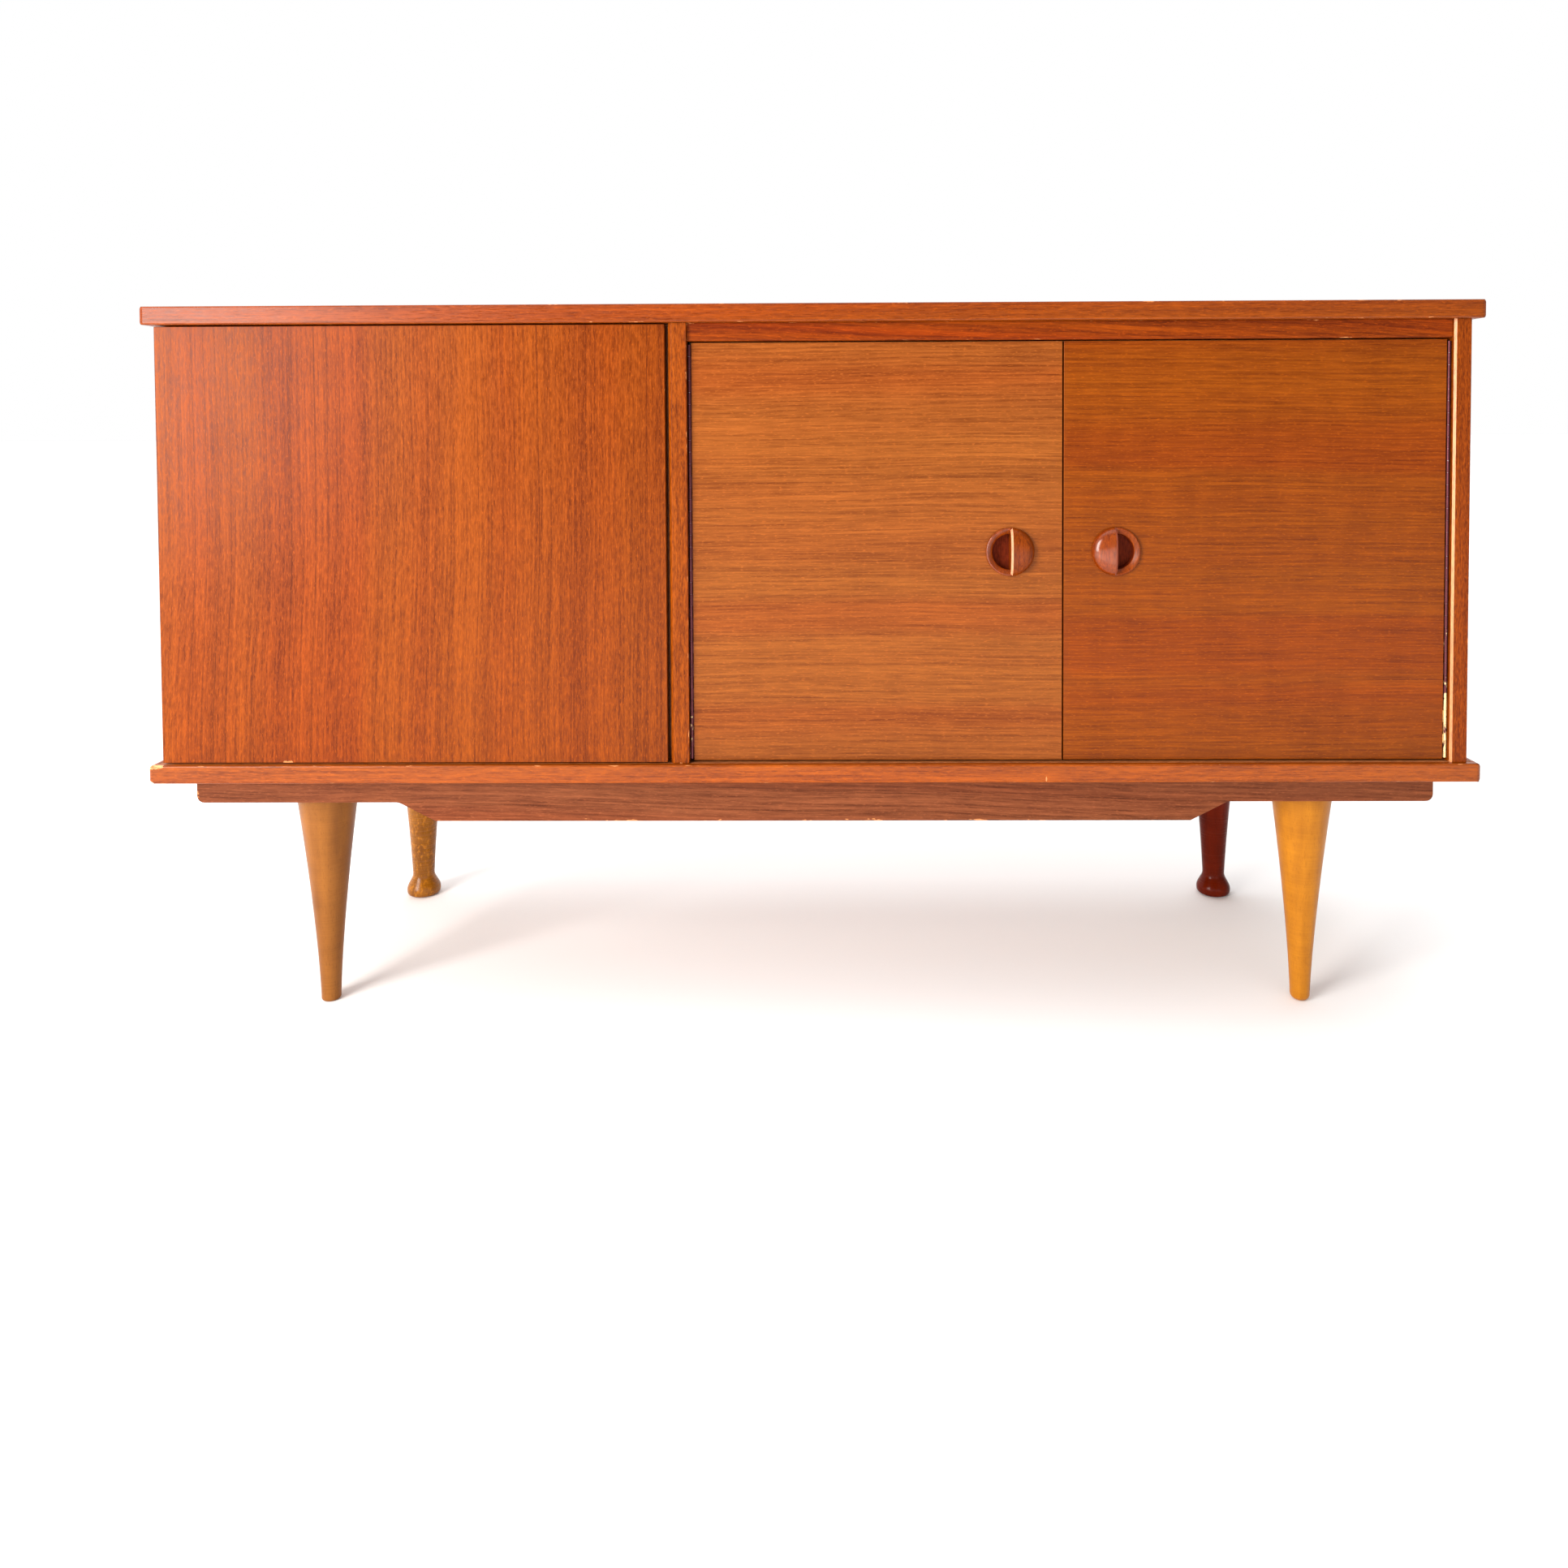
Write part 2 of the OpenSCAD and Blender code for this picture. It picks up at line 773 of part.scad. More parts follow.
// Catch with its face at y, hung from the surface at z
module catch_body(x, y, z) {
    color(brown_plastic) difference() {
        union() {
            block([x - catch_w / 2, y, z - catch_h], [x + catch_w / 2, y + catch_d, z]);
            block([x - flange_w / 2, y + flange_inset, z - flange_t],
                [x + flange_w / 2, y + catch_d - flange_inset, z]);
        }
        block([x - pocket_w / 2, y - 1, z_magnet(z) - pocket_h / 2],
            [x + pocket_w / 2, y + magnet_d + 1, z_magnet(z) + pocket_h / 2]);
        catch_screw_places(x, y, z) small_screw_hole();
    }
}

function z_magnet(z) = z - keeper_drop;

module catch_screw_places(x, y, z) {
    for (side = [-1, 1])
        translate([x + side * catch_ear, y + catch_d / 2, z - flange_t]) rotate([180, 0, 0]) children();
}

module left_catch_body() {
    catch_body(left_catch_x, y_left_catch(), z_ceiling);
}

module middle_catch_body() {
    catch_body(meeting_x - pair_catch_x, y_pair_catch(), z_batten);
}

module right_catch_body() {
    catch_body(meeting_x + pair_catch_x, y_pair_catch(), z_batten);
}

// Magnet between two steel poles
module catch_magnet(x, y, z) {
    w = magnet_w / 2;
    h = magnet_h / 2;
    zm = z_magnet(z);
    block([x - w, y + 1, zm - h + fit], [x + w, y + magnet_d, zm + h - fit]);
    for (z0 = [zm - h - pole_t, zm + h])
        block([x - w, y - pole_out, z0], [x + w, y + magnet_d, z0 + pole_t]);
}

module catch_magnets() {
    color(steel) {
        catch_magnet(left_catch_x, y_left_catch(), z_ceiling);
        for (side = [-1, 1]) catch_magnet(meeting_x + side * pair_catch_x, y_pair_catch(), z_batten);
    }
}

module catch_screws() {
    color(steel) {
        catch_screw_places(left_catch_x, y_left_catch(), z_ceiling) small_screw();
        for (side = [-1, 1])
            catch_screw_places(meeting_x + side * pair_catch_x, y_pair_catch(), z_batten) small_screw();
    }
}

// Screw through a keeper on the back of a door, under a catch that hangs from z
module keeper_screw_place(x, y, z) {
    translate([x, y + keeper_t, z - keeper_drop]) rotate([-90, 0, 0]) children();
}

module keeper_plate(x, y, z) {
    zk = z - keeper_drop;
    color(steel) difference() {
        block([x - keeper_w / 2, y, zk - keeper_h / 2], [x + keeper_w / 2, y + keeper_t, zk + keeper_h / 2]);
        keeper_screw_place(x, y, z) small_screw_hole();
    }
}

module left_keeper_plate() {
    keeper_plate(left_catch_x, y_left_back, z_ceiling);
}

module middle_keeper_plate() {
    keeper_plate(meeting_x - pair_catch_x, y_inset_back, z_batten);
}

module right_keeper_plate() {
    keeper_plate(meeting_x + pair_catch_x, y_inset_back, z_batten);
}

// ---------- Base frame ----------

// Half of the apron's lower edge from the end to the deep part, for x > 0
function apron_edge() =
    let (slope = atan2(apron_drop, apron_high_x - apron_low_x),
         t = apron_fillet_r * tan(slope / 2))
    concat(
        arc([apron_w / 2 - apron_corner_r, leg_h + apron_corner_r], apron_corner_r, 360, 270),
        arc([apron_high_x + t, leg_h - apron_fillet_r], apron_fillet_r, 90, 90 + slope),
        [[apron_low_x, leg_h - apron_drop]]);

module front_apron() {
    half = apron_edge();
    n = len(half);
    color(dark_teak) difference() {
        along_y(y_apron, y_frame0) polygon(concat(
            [[-apron_w / 2, z_base], [apron_w / 2, z_base]],
            half,
            [for (i = [n - 1:-1:0]) [-half[i].x, half[i].y]]));
        base_dowel_places() base_dowel(fit);
        base_screw_places() base_screw_hole();
    }
}

module rear_base_rail() {
    color(dark_teak) difference() {
        block([-apron_w / 2, y_frame1, leg_h], [apron_w / 2, y_frame1 + frame_t, z_base]);
        base_dowel_places() base_dowel(fit);
        base_screw_places() base_screw_hole();
    }
}

module base_side_rail(side) {
    x = side * (apron_w / 2 - frame_t / 2);
    color(dark_teak) difference() {
        block([x - frame_t / 2, y_frame0, leg_h], [x + frame_t / 2, y_frame1, z_base]);
        base_dowel_places() base_dowel(fit);
        base_screw_places() base_screw_hole();
    }
}

module left_base_rail() {
    base_side_rail(-1);
}

module right_base_rail() {
    base_side_rail(1);
}

module leg_batten(side) {
    x = side * leg_x;
    color(beech) difference() {
        block([x - leg_batten_w / 2, y_frame0, leg_h], [x + leg_batten_w / 2, y_frame1, z_base]);
        base_dowel_places() base_dowel(fit);
        base_screw_places() base_screw_hole();
        for (y = [front_leg_y, rear_leg_y]) {
            rod_z([x, y, leg_h - eps], insert_r + fit, frame_h + 2 * eps);
            rod_z([x, y, z_base - insert_flange_t - fit], insert_flange_r + fit, insert_flange_t + 1);
        }
    }
}

module left_leg_batten() {
    leg_batten(-1);
}

module right_leg_batten() {
    leg_batten(1);
}

// Dowels that join the rails and battens end-on to the apron and the rear rail
module base_dowel_places() {
    xs = [apron_w / 2 - frame_t / 2, leg_x - batten_dowel_x, leg_x + batten_dowel_x];
    for (side = [-1, 1], x = xs) {
        translate([side * x, y_frame0, leg_h + frame_h / 2]) children();
        translate([side * x, y_frame1, leg_h + frame_h / 2]) mirror([0, 1, 0]) children();
    }
}

module base_dowel(slack) {
    l = dowel_in_board + base_dowel_out;
    rod_y([0, -dowel_in_board - 10 * slack, 0], dowel_r + slack, l + 20 * slack);
}

module base_dowels() {
    color(beech) base_dowel_places() base_dowel(0);
}

module base_screw_places() {
    for (side = [-1, 1]) {
        for (y = batten_screw_y) translate([side * leg_x, y, leg_h]) rotate([180, 0, 0]) children();
        for (y = side_screw_y)
            translate([side * (apron_w / 2 - frame_t / 2), y, leg_h]) rotate([180, 0, 0]) children();
        for (x = rail_screw_x)
            translate([side * x, y_frame1 + frame_t / 2, leg_h]) rotate([180, 0, 0]) children();
        translate([side * rail_screw_x[0], y_apron + frame_t / 2, leg_h]) rotate([180, 0, 0]) children();
    }
}

module base_screw() {
    screw(base_screw_l, base_screw_r, base_screw_head_r, base_screw_head_h);
}

module base_screw_hole() {
    screw_hole(base_screw_l, base_screw_r, base_screw_head_r, base_screw_head_h);
}

module base_screws() {
    color(steel) base_screw_places() base_screw();
}

// ---------- Legs ----------

// Radius at height z of a leg that is foot_r across near the floor
function taper(z, foot_r) = foot_r + (leg_top_r - foot_r) * pow(z / leg_h, leg_power);
// 1 at the floor, falling smoothly to 0 at the top of the flared foot
function flare(z) =
    let (s = min(1, max(0, (z - foot_full_z) / (foot_flare_z - foot_full_z))))
    1 - s * s * (3 - 2 * s);
// Heights of the turned rings, closer together towards the floor
function ring_z(i, from) = from + (leg_h - from) * pow(i / leg_rings, 1.6);

module turned_leg(x, y, outline, wood) {
    color(wood) translate([x, y, 0]) difference() {
        rotate_extrude($fn = 64) polygon(concat([[0, 0]], outline, [[0, leg_h]]));
        rod_z([0, 0, leg_h - bolt_in_leg - 1], bolt_r + fit, bolt_in_leg + 2);
    }
}

// Plain cone, its foot rounded to a radius of r
module cone_leg(x, r) {
    turned_leg(x, front_leg_y, concat(
        arc([taper(r, front_foot_r) - r, r], r, -90, 0, 5),
        [for (i = [1:leg_rings]) let (z = ring_z(i, r)) [taper(z, front_foot_r), z]]), beech);
}

// A stouter cone with a flared foot
module flared_leg(x) {
    r = rear_foot_round;
    turned_leg(x, rear_leg_y, concat(
        arc([taper(r, rear_foot_r) + foot_flare - r, r], r, -90, 0, 6),
        [for (i = [1:leg_rings]) let (z = ring_z(i, r))
            [taper(z, rear_foot_r) + foot_flare * flare(z), z]]), dark_teak);
}

module front_left_leg() {
    cone_leg(-leg_x, left_foot_round);
}

module front_right_leg() {
    cone_leg(leg_x, right_foot_round);
}

module rear_left_leg() {
    flared_leg(-leg_x);
}

module rear_right_leg() {
    flared_leg(leg_x);
}

module leg_places() {
    for (x = [-leg_x, leg_x], y = [front_leg_y, rear_leg_y]) translate([x, y, leg_h]) children();
}

module leg_bolts() {
    color(steel) leg_places() translate([0, 0, -bolt_in_leg])
        cylinder(r = bolt_r, h = bolt_in_leg + bolt_in_batten);
}

module leg_inserts() {
    color(steel) leg_places() difference() {
        union() {
            translate([0, 0, frame_h - insert_l]) cylinder(r = insert_r, h = insert_l);
            translate([0, 0, frame_h - insert_flange_t]) cylinder(r = insert_flange_r, h = insert_flange_t);
        }
        translate([0, 0, -1]) cylinder(r = bolt_r + fit, h = frame_h + 2);
    }
}

top_board();
top_front_lipping();
top_left_lipping();
top_right_lipping();
bottom_board();
bottom_front_lipping();
bottom_left_lipping();
bottom_right_lipping();
left_side_panel();
right_side_panel();
divider_panel();
top_rail();
top_stop_batten();
left_door_stop();
back_panel();
back_panel_nails();
carcass_dowels();
left_shelf();
right_shelf();
shelf_pins();
left_door();
middle_door();
right_door();
middle_handle();
right_handle();
left_hinge_frame_leaf();
left_hinge_door_leaf();
left_hinge_pin();
middle_hinge_frame_leaf();
middle_hinge_door_leaf();
middle_hinge_pin();
right_hinge_frame_leaf();
right_hinge_door_leaf();
right_hinge_pin();
hinge_frame_screws();
left_door_screws();
middle_door_screws();
right_door_screws();
left_catch_body();
middle_catch_body();
right_catch_body();
catch_magnets();
catch_screws();
left_keeper_plate();
middle_keeper_plate();
right_keeper_plate();
front_apron();
rear_base_rail();
left_base_rail();
right_base_rail();
left_leg_batten();
right_leg_batten();
base_screws();
base_dowels();
front_left_leg();
front_right_leg();
rear_left_leg();
rear_right_leg();
leg_bolts();
leg_inserts();
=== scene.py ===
import math

import bmesh
import bpy
from mathutils import Matrix, Vector, noise


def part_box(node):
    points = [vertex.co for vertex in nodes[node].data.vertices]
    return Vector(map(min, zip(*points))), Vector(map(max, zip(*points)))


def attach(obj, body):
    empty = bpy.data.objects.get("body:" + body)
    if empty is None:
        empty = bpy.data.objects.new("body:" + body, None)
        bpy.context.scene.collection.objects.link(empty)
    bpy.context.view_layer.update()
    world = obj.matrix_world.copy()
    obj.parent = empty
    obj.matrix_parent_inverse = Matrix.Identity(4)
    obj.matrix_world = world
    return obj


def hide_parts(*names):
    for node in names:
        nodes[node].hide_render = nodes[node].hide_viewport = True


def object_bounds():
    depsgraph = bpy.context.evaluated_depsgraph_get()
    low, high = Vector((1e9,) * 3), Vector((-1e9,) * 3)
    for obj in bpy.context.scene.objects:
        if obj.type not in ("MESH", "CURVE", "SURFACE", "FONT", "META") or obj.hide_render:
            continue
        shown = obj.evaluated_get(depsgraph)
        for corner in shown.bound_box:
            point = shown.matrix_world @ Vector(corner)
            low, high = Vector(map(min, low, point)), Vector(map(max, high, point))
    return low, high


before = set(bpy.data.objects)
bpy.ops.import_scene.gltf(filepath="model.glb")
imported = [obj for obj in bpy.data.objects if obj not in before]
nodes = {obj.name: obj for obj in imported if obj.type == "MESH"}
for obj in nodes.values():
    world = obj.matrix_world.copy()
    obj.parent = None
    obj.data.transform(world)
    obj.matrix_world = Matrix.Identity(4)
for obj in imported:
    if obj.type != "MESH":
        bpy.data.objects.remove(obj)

MM = 0.001
cad_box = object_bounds()


def srgb(r, g, b):
    """A colour given as 0-255 screen values, in the linear values that shaders take."""
    def linear(v):
        v /= 255
        return v / 12.92 if v <= 0.04045 else ((v + 0.055) / 1.055) ** 2.4
    return (linear(r), linear(g), linear(b), 1.0)


# ---------- Shader building ----------

# How far a seed of 1 moves a pattern along, across and into the wood.
SEED_SHIFTS = (0.37, 0.53, 0.71)


class Shader:
    """A material whose nodes are added one call at a time. Sockets given as inputs are linked."""

    def __init__(self, name):
        self.material = bpy.data.materials.new(name)
        self.material.use_nodes = True
        self.tree = self.material.node_tree
        self.tree.nodes.clear()

    def add(self, kind, inputs=None, **settings):
        node = self.tree.nodes.new("ShaderNode" + kind)
        for key, value in settings.items():
            setattr(node, key, value)
        for key, value in (inputs or {}).items():
            if isinstance(value, bpy.types.NodeSocket):
                self.tree.links.new(value, node.inputs[key])
            else:
                node.inputs[key].default_value = value
        return node

    def math(self, operation, *values):
        return self.add("Math", dict(enumerate(values)), operation=operation).outputs[0]

    def plus(self, a, b):
        return self.math("ADD", a, b)

    def times(self, a, b):
        return self.math("MULTIPLY", a, b)

    def mix(self, factor, a, b, blend="MIX"):
        """Colour a with colour b laid over it."""
        node = self.add("Mix", {0: factor, 6: a, 7: b}, data_type="RGBA", blend_type=blend)
        return node.outputs[2]

    def remap(self, value, low, high, to_low=0.0, to_high=1.0):
        """value from low..high to to_low..to_high, smoothly and held at both ends."""
        inputs = {"Value": value, "From Min": low, "From Max": high, "To Min": to_low, "To Max": to_high}
        return self.add("MapRange", inputs, interpolation_type="SMOOTHSTEP").outputs[0]

    def ramp(self, value, *stops):
        node = self.add("ValToRGB", {0: value})
        bar = node.color_ramp.elements
        while len(bar) < len(stops):
            bar.new(0.5)
        for element, (place, colour) in zip(bar, stops):
            element.position = place
            element.color = colour
        return node.outputs[0]

    def split(self, vector):
        return self.add("SeparateXYZ", {0: vector}).outputs[:]

    def join(self, x, y, z):
        return self.add("CombineXYZ", {0: x, 1: y, 2: z}).outputs[0]

    def scaled(self, vector, factors):
        return self.add("VectorMath", {0: vector, 1: factors}, operation="MULTIPLY").outputs[0]

    def noise(self, vector, factors, detail=2.0, roughness=0.5):
        """Noise whose cells are 1/factors metres along each axis."""
        inputs = {"Vector": self.scaled(vector, factors), "Scale": 1.0, "Detail": detail}
        inputs["Roughness"] = roughness
        return self.add("TexNoise", inputs).outputs[0]

    def position(self):
        return self.add("TexCoord").outputs["Object"]

    def distance(self, point, factors):
        """Distance from a point, each axis first multiplied by its factor."""
        offset = self.add("VectorMath", {0: self.position(), 1: point}, operation="SUBTRACT").outputs[0]
        length = self.add("VectorMath", {0: self.scaled(offset, factors)}, operation="LENGTH")
        return length.outputs["Value"]

    def grain_space(self, grain, seed):
        """Object coordinates as (along, across, deep) for wood whose grain runs along that axis."""
        x, y, z = self.split(self.position())
        order = {"X": (x, z, y), "Y": (y, x, z), "Z": (z, x, y)}[grain]
        return self.join(*(self.plus(axis, seed * shift) for axis, shift in zip(order, SEED_SHIFTS)))

    def edge_distance(self, low, high):
        """Distance from the nearest arris of a box: the second smallest of the distances to its faces."""
        axes = self.split(self.position())
        gaps = []
        for axis, lowest, highest in zip(axes, low, high):
            middle = (lowest + highest) / 2
            off_middle = self.math("ABSOLUTE", self.plus(axis, -middle))
            gaps.append(self.math("SUBTRACT", (highest - lowest) / 2, off_middle))
        a, b, c = gaps
        nearer = self.math("MINIMUM", a, b)
        further = self.math("MAXIMUM", a, b)
        return self.math("MAXIMUM", nearer, self.math("MINIMUM", further, c))

    def finish(self, colour, roughness, height=None, bump=0.0, **fixed):
        """The surface. fixed holds the sockets that are the same all over, their names written with
        underscores."""
        inputs = {"Base Color": colour, "Roughness": roughness}
        inputs.update({key.replace("_", " "): value for key, value in fixed.items()})
        if height is not None:
            relief = self.add("Bump", {"Height": height, "Strength": 1.0, "Distance": bump})
            inputs["Normal"] = relief.outputs[0]
        shader = self.add("BsdfPrincipled", inputs)
        output = self.add("OutputMaterial", {"Surface": shader.outputs[0]})
        output.is_active_output = True
        return self.material


# ---------- Wood ----------

def shades(r, g, b, spread=0.45):
    """Dark, middle and light tones around one screen colour, the darker the redder."""
    middle = srgb(r, g, b)[:3]
    dark = [v * (1 - spread * (1 + 0.2 * i)) for i, v in enumerate(middle)]
    light = [v * (1 + spread * (1 + 0.2 * i)) for i, v in enumerate(middle)]
    return tuple(tuple(tone) + (1.0,) for tone in (dark, middle, light))


def times_tone(tone, factor):
    return [min(1.0, v * factor) for v in tone[:3]] + [1.0]


# The heights between which a door's grain fans out.
FAN_LOW, FAN_HIGH = 0.29, 0.55


def wood(name, grain, tones, seed=0.0, band=24.0, band_depth=0.5, hue_depth=0.5, rings=70.0,
         ring_dark=0.4, ring_drift=1.2, ring_chance=0.35, wander=5 * MM, slope=0.0, splay=0.0,
         threads=250.0, thread_depth=1.0, fibre_length=1 / 130, fibre_depth=2.0, ripple=0.2,
         pores=0.5, flecks=0.4, roughness=0.4, worn=None, worn_width=0.6 * MM, worn_start=0.5,
         marks=(), **fixed):
    """Veneer or solid wood. tones are its dark, middle and light colours.

    band, rings and threads are how many broad bands, growth rings and fine streaks there are per metre
    across the grain, and fibre_length is in metres. The depths say how strongly each of them colours the
    wood. wander is how far they stray sideways, slope how steeply they cross the board and splay how much
    they spread apart from the height FAN_HIGH down to FAN_LOW. ripple is the faint figure across the grain.
    worn is a box whose arrises are rubbed pale in patches, fewer with a higher worn_start. marks are pale
    scratches and bruises, each a centre and its reach along each axis.
    """
    s = Shader(name)
    dark, middle, light = tones
    place = s.grain_space(grain, seed)
    along, across, deep = s.split(place)

    # The grain's path: wandering, sloping and fanned out at the foot.
    drift = s.noise(place, (2.2, 3.0, 3.0), detail=2.0)
    across = s.plus(across, s.times(s.plus(drift, -0.5), 2 * wander))
    across = s.plus(across, s.times(along, slope))
    if splay:
        end = s.remap(s.split(s.position())[2], FAN_LOW, FAN_HIGH, splay, 0.0)
        off_middle = s.plus(across, -SEED_SHIFTS[1] * seed)
        across = s.math("SUBTRACT", across, s.times(off_middle, end))
    place = s.join(along, across, deep)

    # The ground colour.
    bands = s.noise(place, (0.7, band, band), detail=2.0)
    streaks = s.noise(place, (6.0, threads, threads), detail=3.0, roughness=0.6)
    fibres = s.noise(place, (1 / fibre_length, 640.0, 640.0), detail=2.0, roughness=0.6)
    figure = s.noise(place, (32.0, 9.0, 9.0), detail=2.0)
    tone = s.plus(0.5, s.times(s.plus(bands, -0.5), band_depth))
    tone = s.plus(tone, s.times(s.plus(figure, -0.5), ripple))
    tone = s.plus(tone, s.times(s.plus(streaks, -0.5), thread_depth))
    tone = s.plus(tone, s.times(s.plus(fibres, -0.5), fibre_depth))
    colour = s.ramp(tone, (0.05, dark), (0.5, middle), (0.95, light))
    hue = s.noise(place, (0.5, 0.6 * band, 0.6 * band), detail=1.0)
    redder = (1.0, 1.0 - 0.24 * hue_depth, 1.0 - 0.4 * hue_depth, 1.0)
    yellower = (1.0 + 0.04 * hue_depth, 1.0 + 0.2 * hue_depth, 1.0 + 0.2 * hue_depth, 1.0)
    hues = s.ramp(hue, (0.34, redder), (0.5, (1.0, 1.0, 1.0, 1.0)), (0.66, yellower))
    colour = s.mix(1.0, colour, hues, "MULTIPLY")

    # Growth rings: each darkens slowly towards its outer edge and ends in a thin line.
    swell = s.noise(place, (1.1, 4.0, 4.0), detail=1.0)
    ring = s.plus(s.times(s.plus(across, s.times(deep, 0.35)), rings), s.times(swell, ring_drift))
    number = s.math("FLOOR", ring)
    phase = s.math("FRACT", ring)
    chance = s.add("TexWhiteNoise", {"W": number}, noise_dimensions="1D").outputs["Value"]
    strength = s.remap(chance, ring_chance, 1.0, 0.1, 1.0)
    line = s.times(s.remap(phase, 0.86, 0.955), s.remap(phase, 0.965, 1.0, 1.0, 0.0))
    late_wood = s.times(s.remap(phase, 0.2, 0.95), s.remap(phase, 0.965, 1.0, 1.0, 0.0))
    broken = s.remap(s.noise(place, (10.0, 60.0, 60.0), detail=2.0), 0.34, 0.54, 0.55, 1.0)
    ring_mask = s.times(s.plus(s.times(line, 0.8), s.times(late_wood, 0.2)), s.times(strength, broken))
    colour = s.mix(s.times(ring_mask, ring_dark), colour, times_tone(dark, 0.8))

    # Dark pores and pale flecks.
    pore = s.noise(place, (80.0, 1100.0, 1100.0), detail=1.0)
    pore_mask = s.times(s.remap(pore, 0.57, 0.7), pores)
    colour = s.mix(pore_mask, colour, times_tone(dark, 0.45))
    fleck = s.noise(place, (210.0, 900.0, 900.0), detail=1.0)
    fleck_mask = s.times(s.remap(fleck, 0.58, 0.74), flecks)
    colour = s.mix(fleck_mask, colour, times_tone(light, 1.35))
    gloss = s.plus(s.remap(fibres, 0.3, 0.7, roughness - 0.04, roughness + 0.06), s.times(pore_mask, 0.2))

    # Wear.
    rub = s.noise(place, (45.0, 170.0, 170.0), detail=3.0, roughness=0.7)
    if worn:
        reach = s.remap(rub, worn_start, worn_start + 0.24, -0.6 * MM, 2.4 * worn_width)
        mask = s.remap(s.math("SUBTRACT", s.edge_distance(*worn), reach), -0.25 * MM, 0.25 * MM, 1.0, 0.0)
        colour = s.mix(s.times(mask, 0.75), colour, RUBBED_TEAK)
        gloss = s.plus(gloss, s.times(mask, 0.15))
    for centre, reaches in marks:
        inside = s.distance(centre, [1 / reach for reach in reaches])
        edge = s.plus(inside, s.times(s.plus(rub, -0.5), 2.0))
        colour = s.mix(s.remap(edge, 0.55, 1.05, 0.8, 0.0), colour, RUBBED_TEAK)

    relief = s.math("SUBTRACT", s.plus(s.times(fibres, 0.5), s.times(streaks, 0.3)), pore_mask)
    return s.finish(colour, gloss, relief, 0.05 * MM, **fixed)


LEFT_DOOR = shades(123, 52, 2)
MIDDLE_DOOR = shades(132, 67, 21)
RIGHT_DOOR = shades(122, 54, 2)
TOP_TEAK = shades(138, 62, 12)
TOP_LIPPING = shades(126, 53, 1)
BOTTOM_LIPPING = shades(139, 61, 2)
PANEL_TEAK = shades(126, 53, 2)
RAIL_TEAK = shades(126, 48, 1)
BASE_TEAK = shades(113, 58, 31)
INSIDE_TEAK = shades(150, 84, 40)
HANDLE_TEAK = shades(122, 48, 1)
RUBBED_TEAK = srgb(214, 140, 84)
LEFT_BEECH = shades(133, 79, 25, 0.3)
RIGHT_BEECH = shades(172, 105, 14, 0.3)
LEFT_REAR = shades(132, 78, 13)
RIGHT_REAR = shades(92, 21, 1)
RAW_BEECH = shades(196, 160, 112, 0.2)
PLY = shades(186, 148, 100, 0.2)


def lacquered(name, node, grain, tones, **more):
    """Varnished wood for one CAD node, its arrises rubbed pale in places."""
    settings = dict(worn=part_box(node), Specular_IOR_Level=0.1)
    settings.update(more)
    return wood(name, grain, tones, **settings)


# ---------- Metal and plastic ----------

def metal(name, bright, dull, roughness):
    """Bare metal, clouded and spotted with its dull colour."""
    s = Shader(name)
    place = s.position()
    cloud = s.noise(place, (60.0, 60.0, 60.0), detail=4.0, roughness=0.6)
    spots = s.noise(place, (900.0, 900.0, 900.0), detail=2.0)
    tarnish = s.remap(cloud, 0.4, 0.66, 0.0, 0.35)
    colour = s.mix(tarnish, bright, dull)
    colour = s.mix(s.remap(spots, 0.62, 0.72, 0.0, 0.5), colour, dull)
    gloss = s.remap(cloud, 0.3, 0.7, roughness, roughness + 0.2)
    return s.finish(colour, gloss, spots, 0.02 * MM, Metallic=1.0)


def tarnished_brass_painted_highlights(name, lit_below, highlight_share):
    """Hinge brass that has gone brown, with bright streaks painted on as highlights, most of them below the
    height lit_below, where painted light brightens the lower part. highlight_share is how much of that
    lower part is bright."""
    s = Shader(name)
    place = s.position()
    streaks = s.noise(place, (120.0, 120.0, 60.0), detail=3.0, roughness=0.7)
    height = s.split(place)[2]
    # Painted light: the cream streaks stand in for highlights on the knuckles, and there are more of them
    # below lit_below, where the hinge catches more light.
    lower = s.remap(height, lit_below - 0.14, lit_below + 0.1, highlight_share, highlight_share - 0.45)
    painted_highlight = s.remap(s.plus(streaks, s.plus(lower, -1.0)), -0.04, 0.05)
    colour = s.mix(painted_highlight, srgb(90, 50, 54), srgb(232, 206, 150))
    grains = s.noise(place, (700.0, 700.0, 700.0), detail=2.0)
    colour = s.mix(s.remap(grains, 0.6, 0.74, 0.0, 0.4), colour, srgb(60, 32, 26))
    return s.finish(colour, s.remap(streaks, 0.3, 0.7, 0.34, 0.5), grains, 0.02 * MM, Metallic=1.0)


def moulded_plastic(name, colour):
    s = Shader(name)
    place = s.position()
    grit = s.noise(place, (1500.0, 1500.0, 1500.0), detail=2.0)
    cloud = s.noise(place, (40.0, 40.0, 40.0), detail=2.0)
    lighter = [v * 1.5 for v in colour[:3]] + [1.0]
    tint = s.mix(s.remap(cloud, 0.35, 0.65), colour, lighter)
    return s.finish(tint, s.remap(grit, 0.3, 0.7, 0.42, 0.58), grit, 0.03 * MM)


def ply_face(name):
    """Rotary-cut birch ply, with wide flat figure and few pores."""
    return wood(name, "X", PLY, seed=3.0, band=5.0, wander=60 * MM, rings=22.0, ring_drift=9.0,
                ring_dark=0.12, thread_depth=0.3, fibre_depth=0.4, pores=0.15, flecks=0.1, roughness=0.62)


# ---------- Mesh building ----------

SMOOTH_BELOW = math.radians(35)


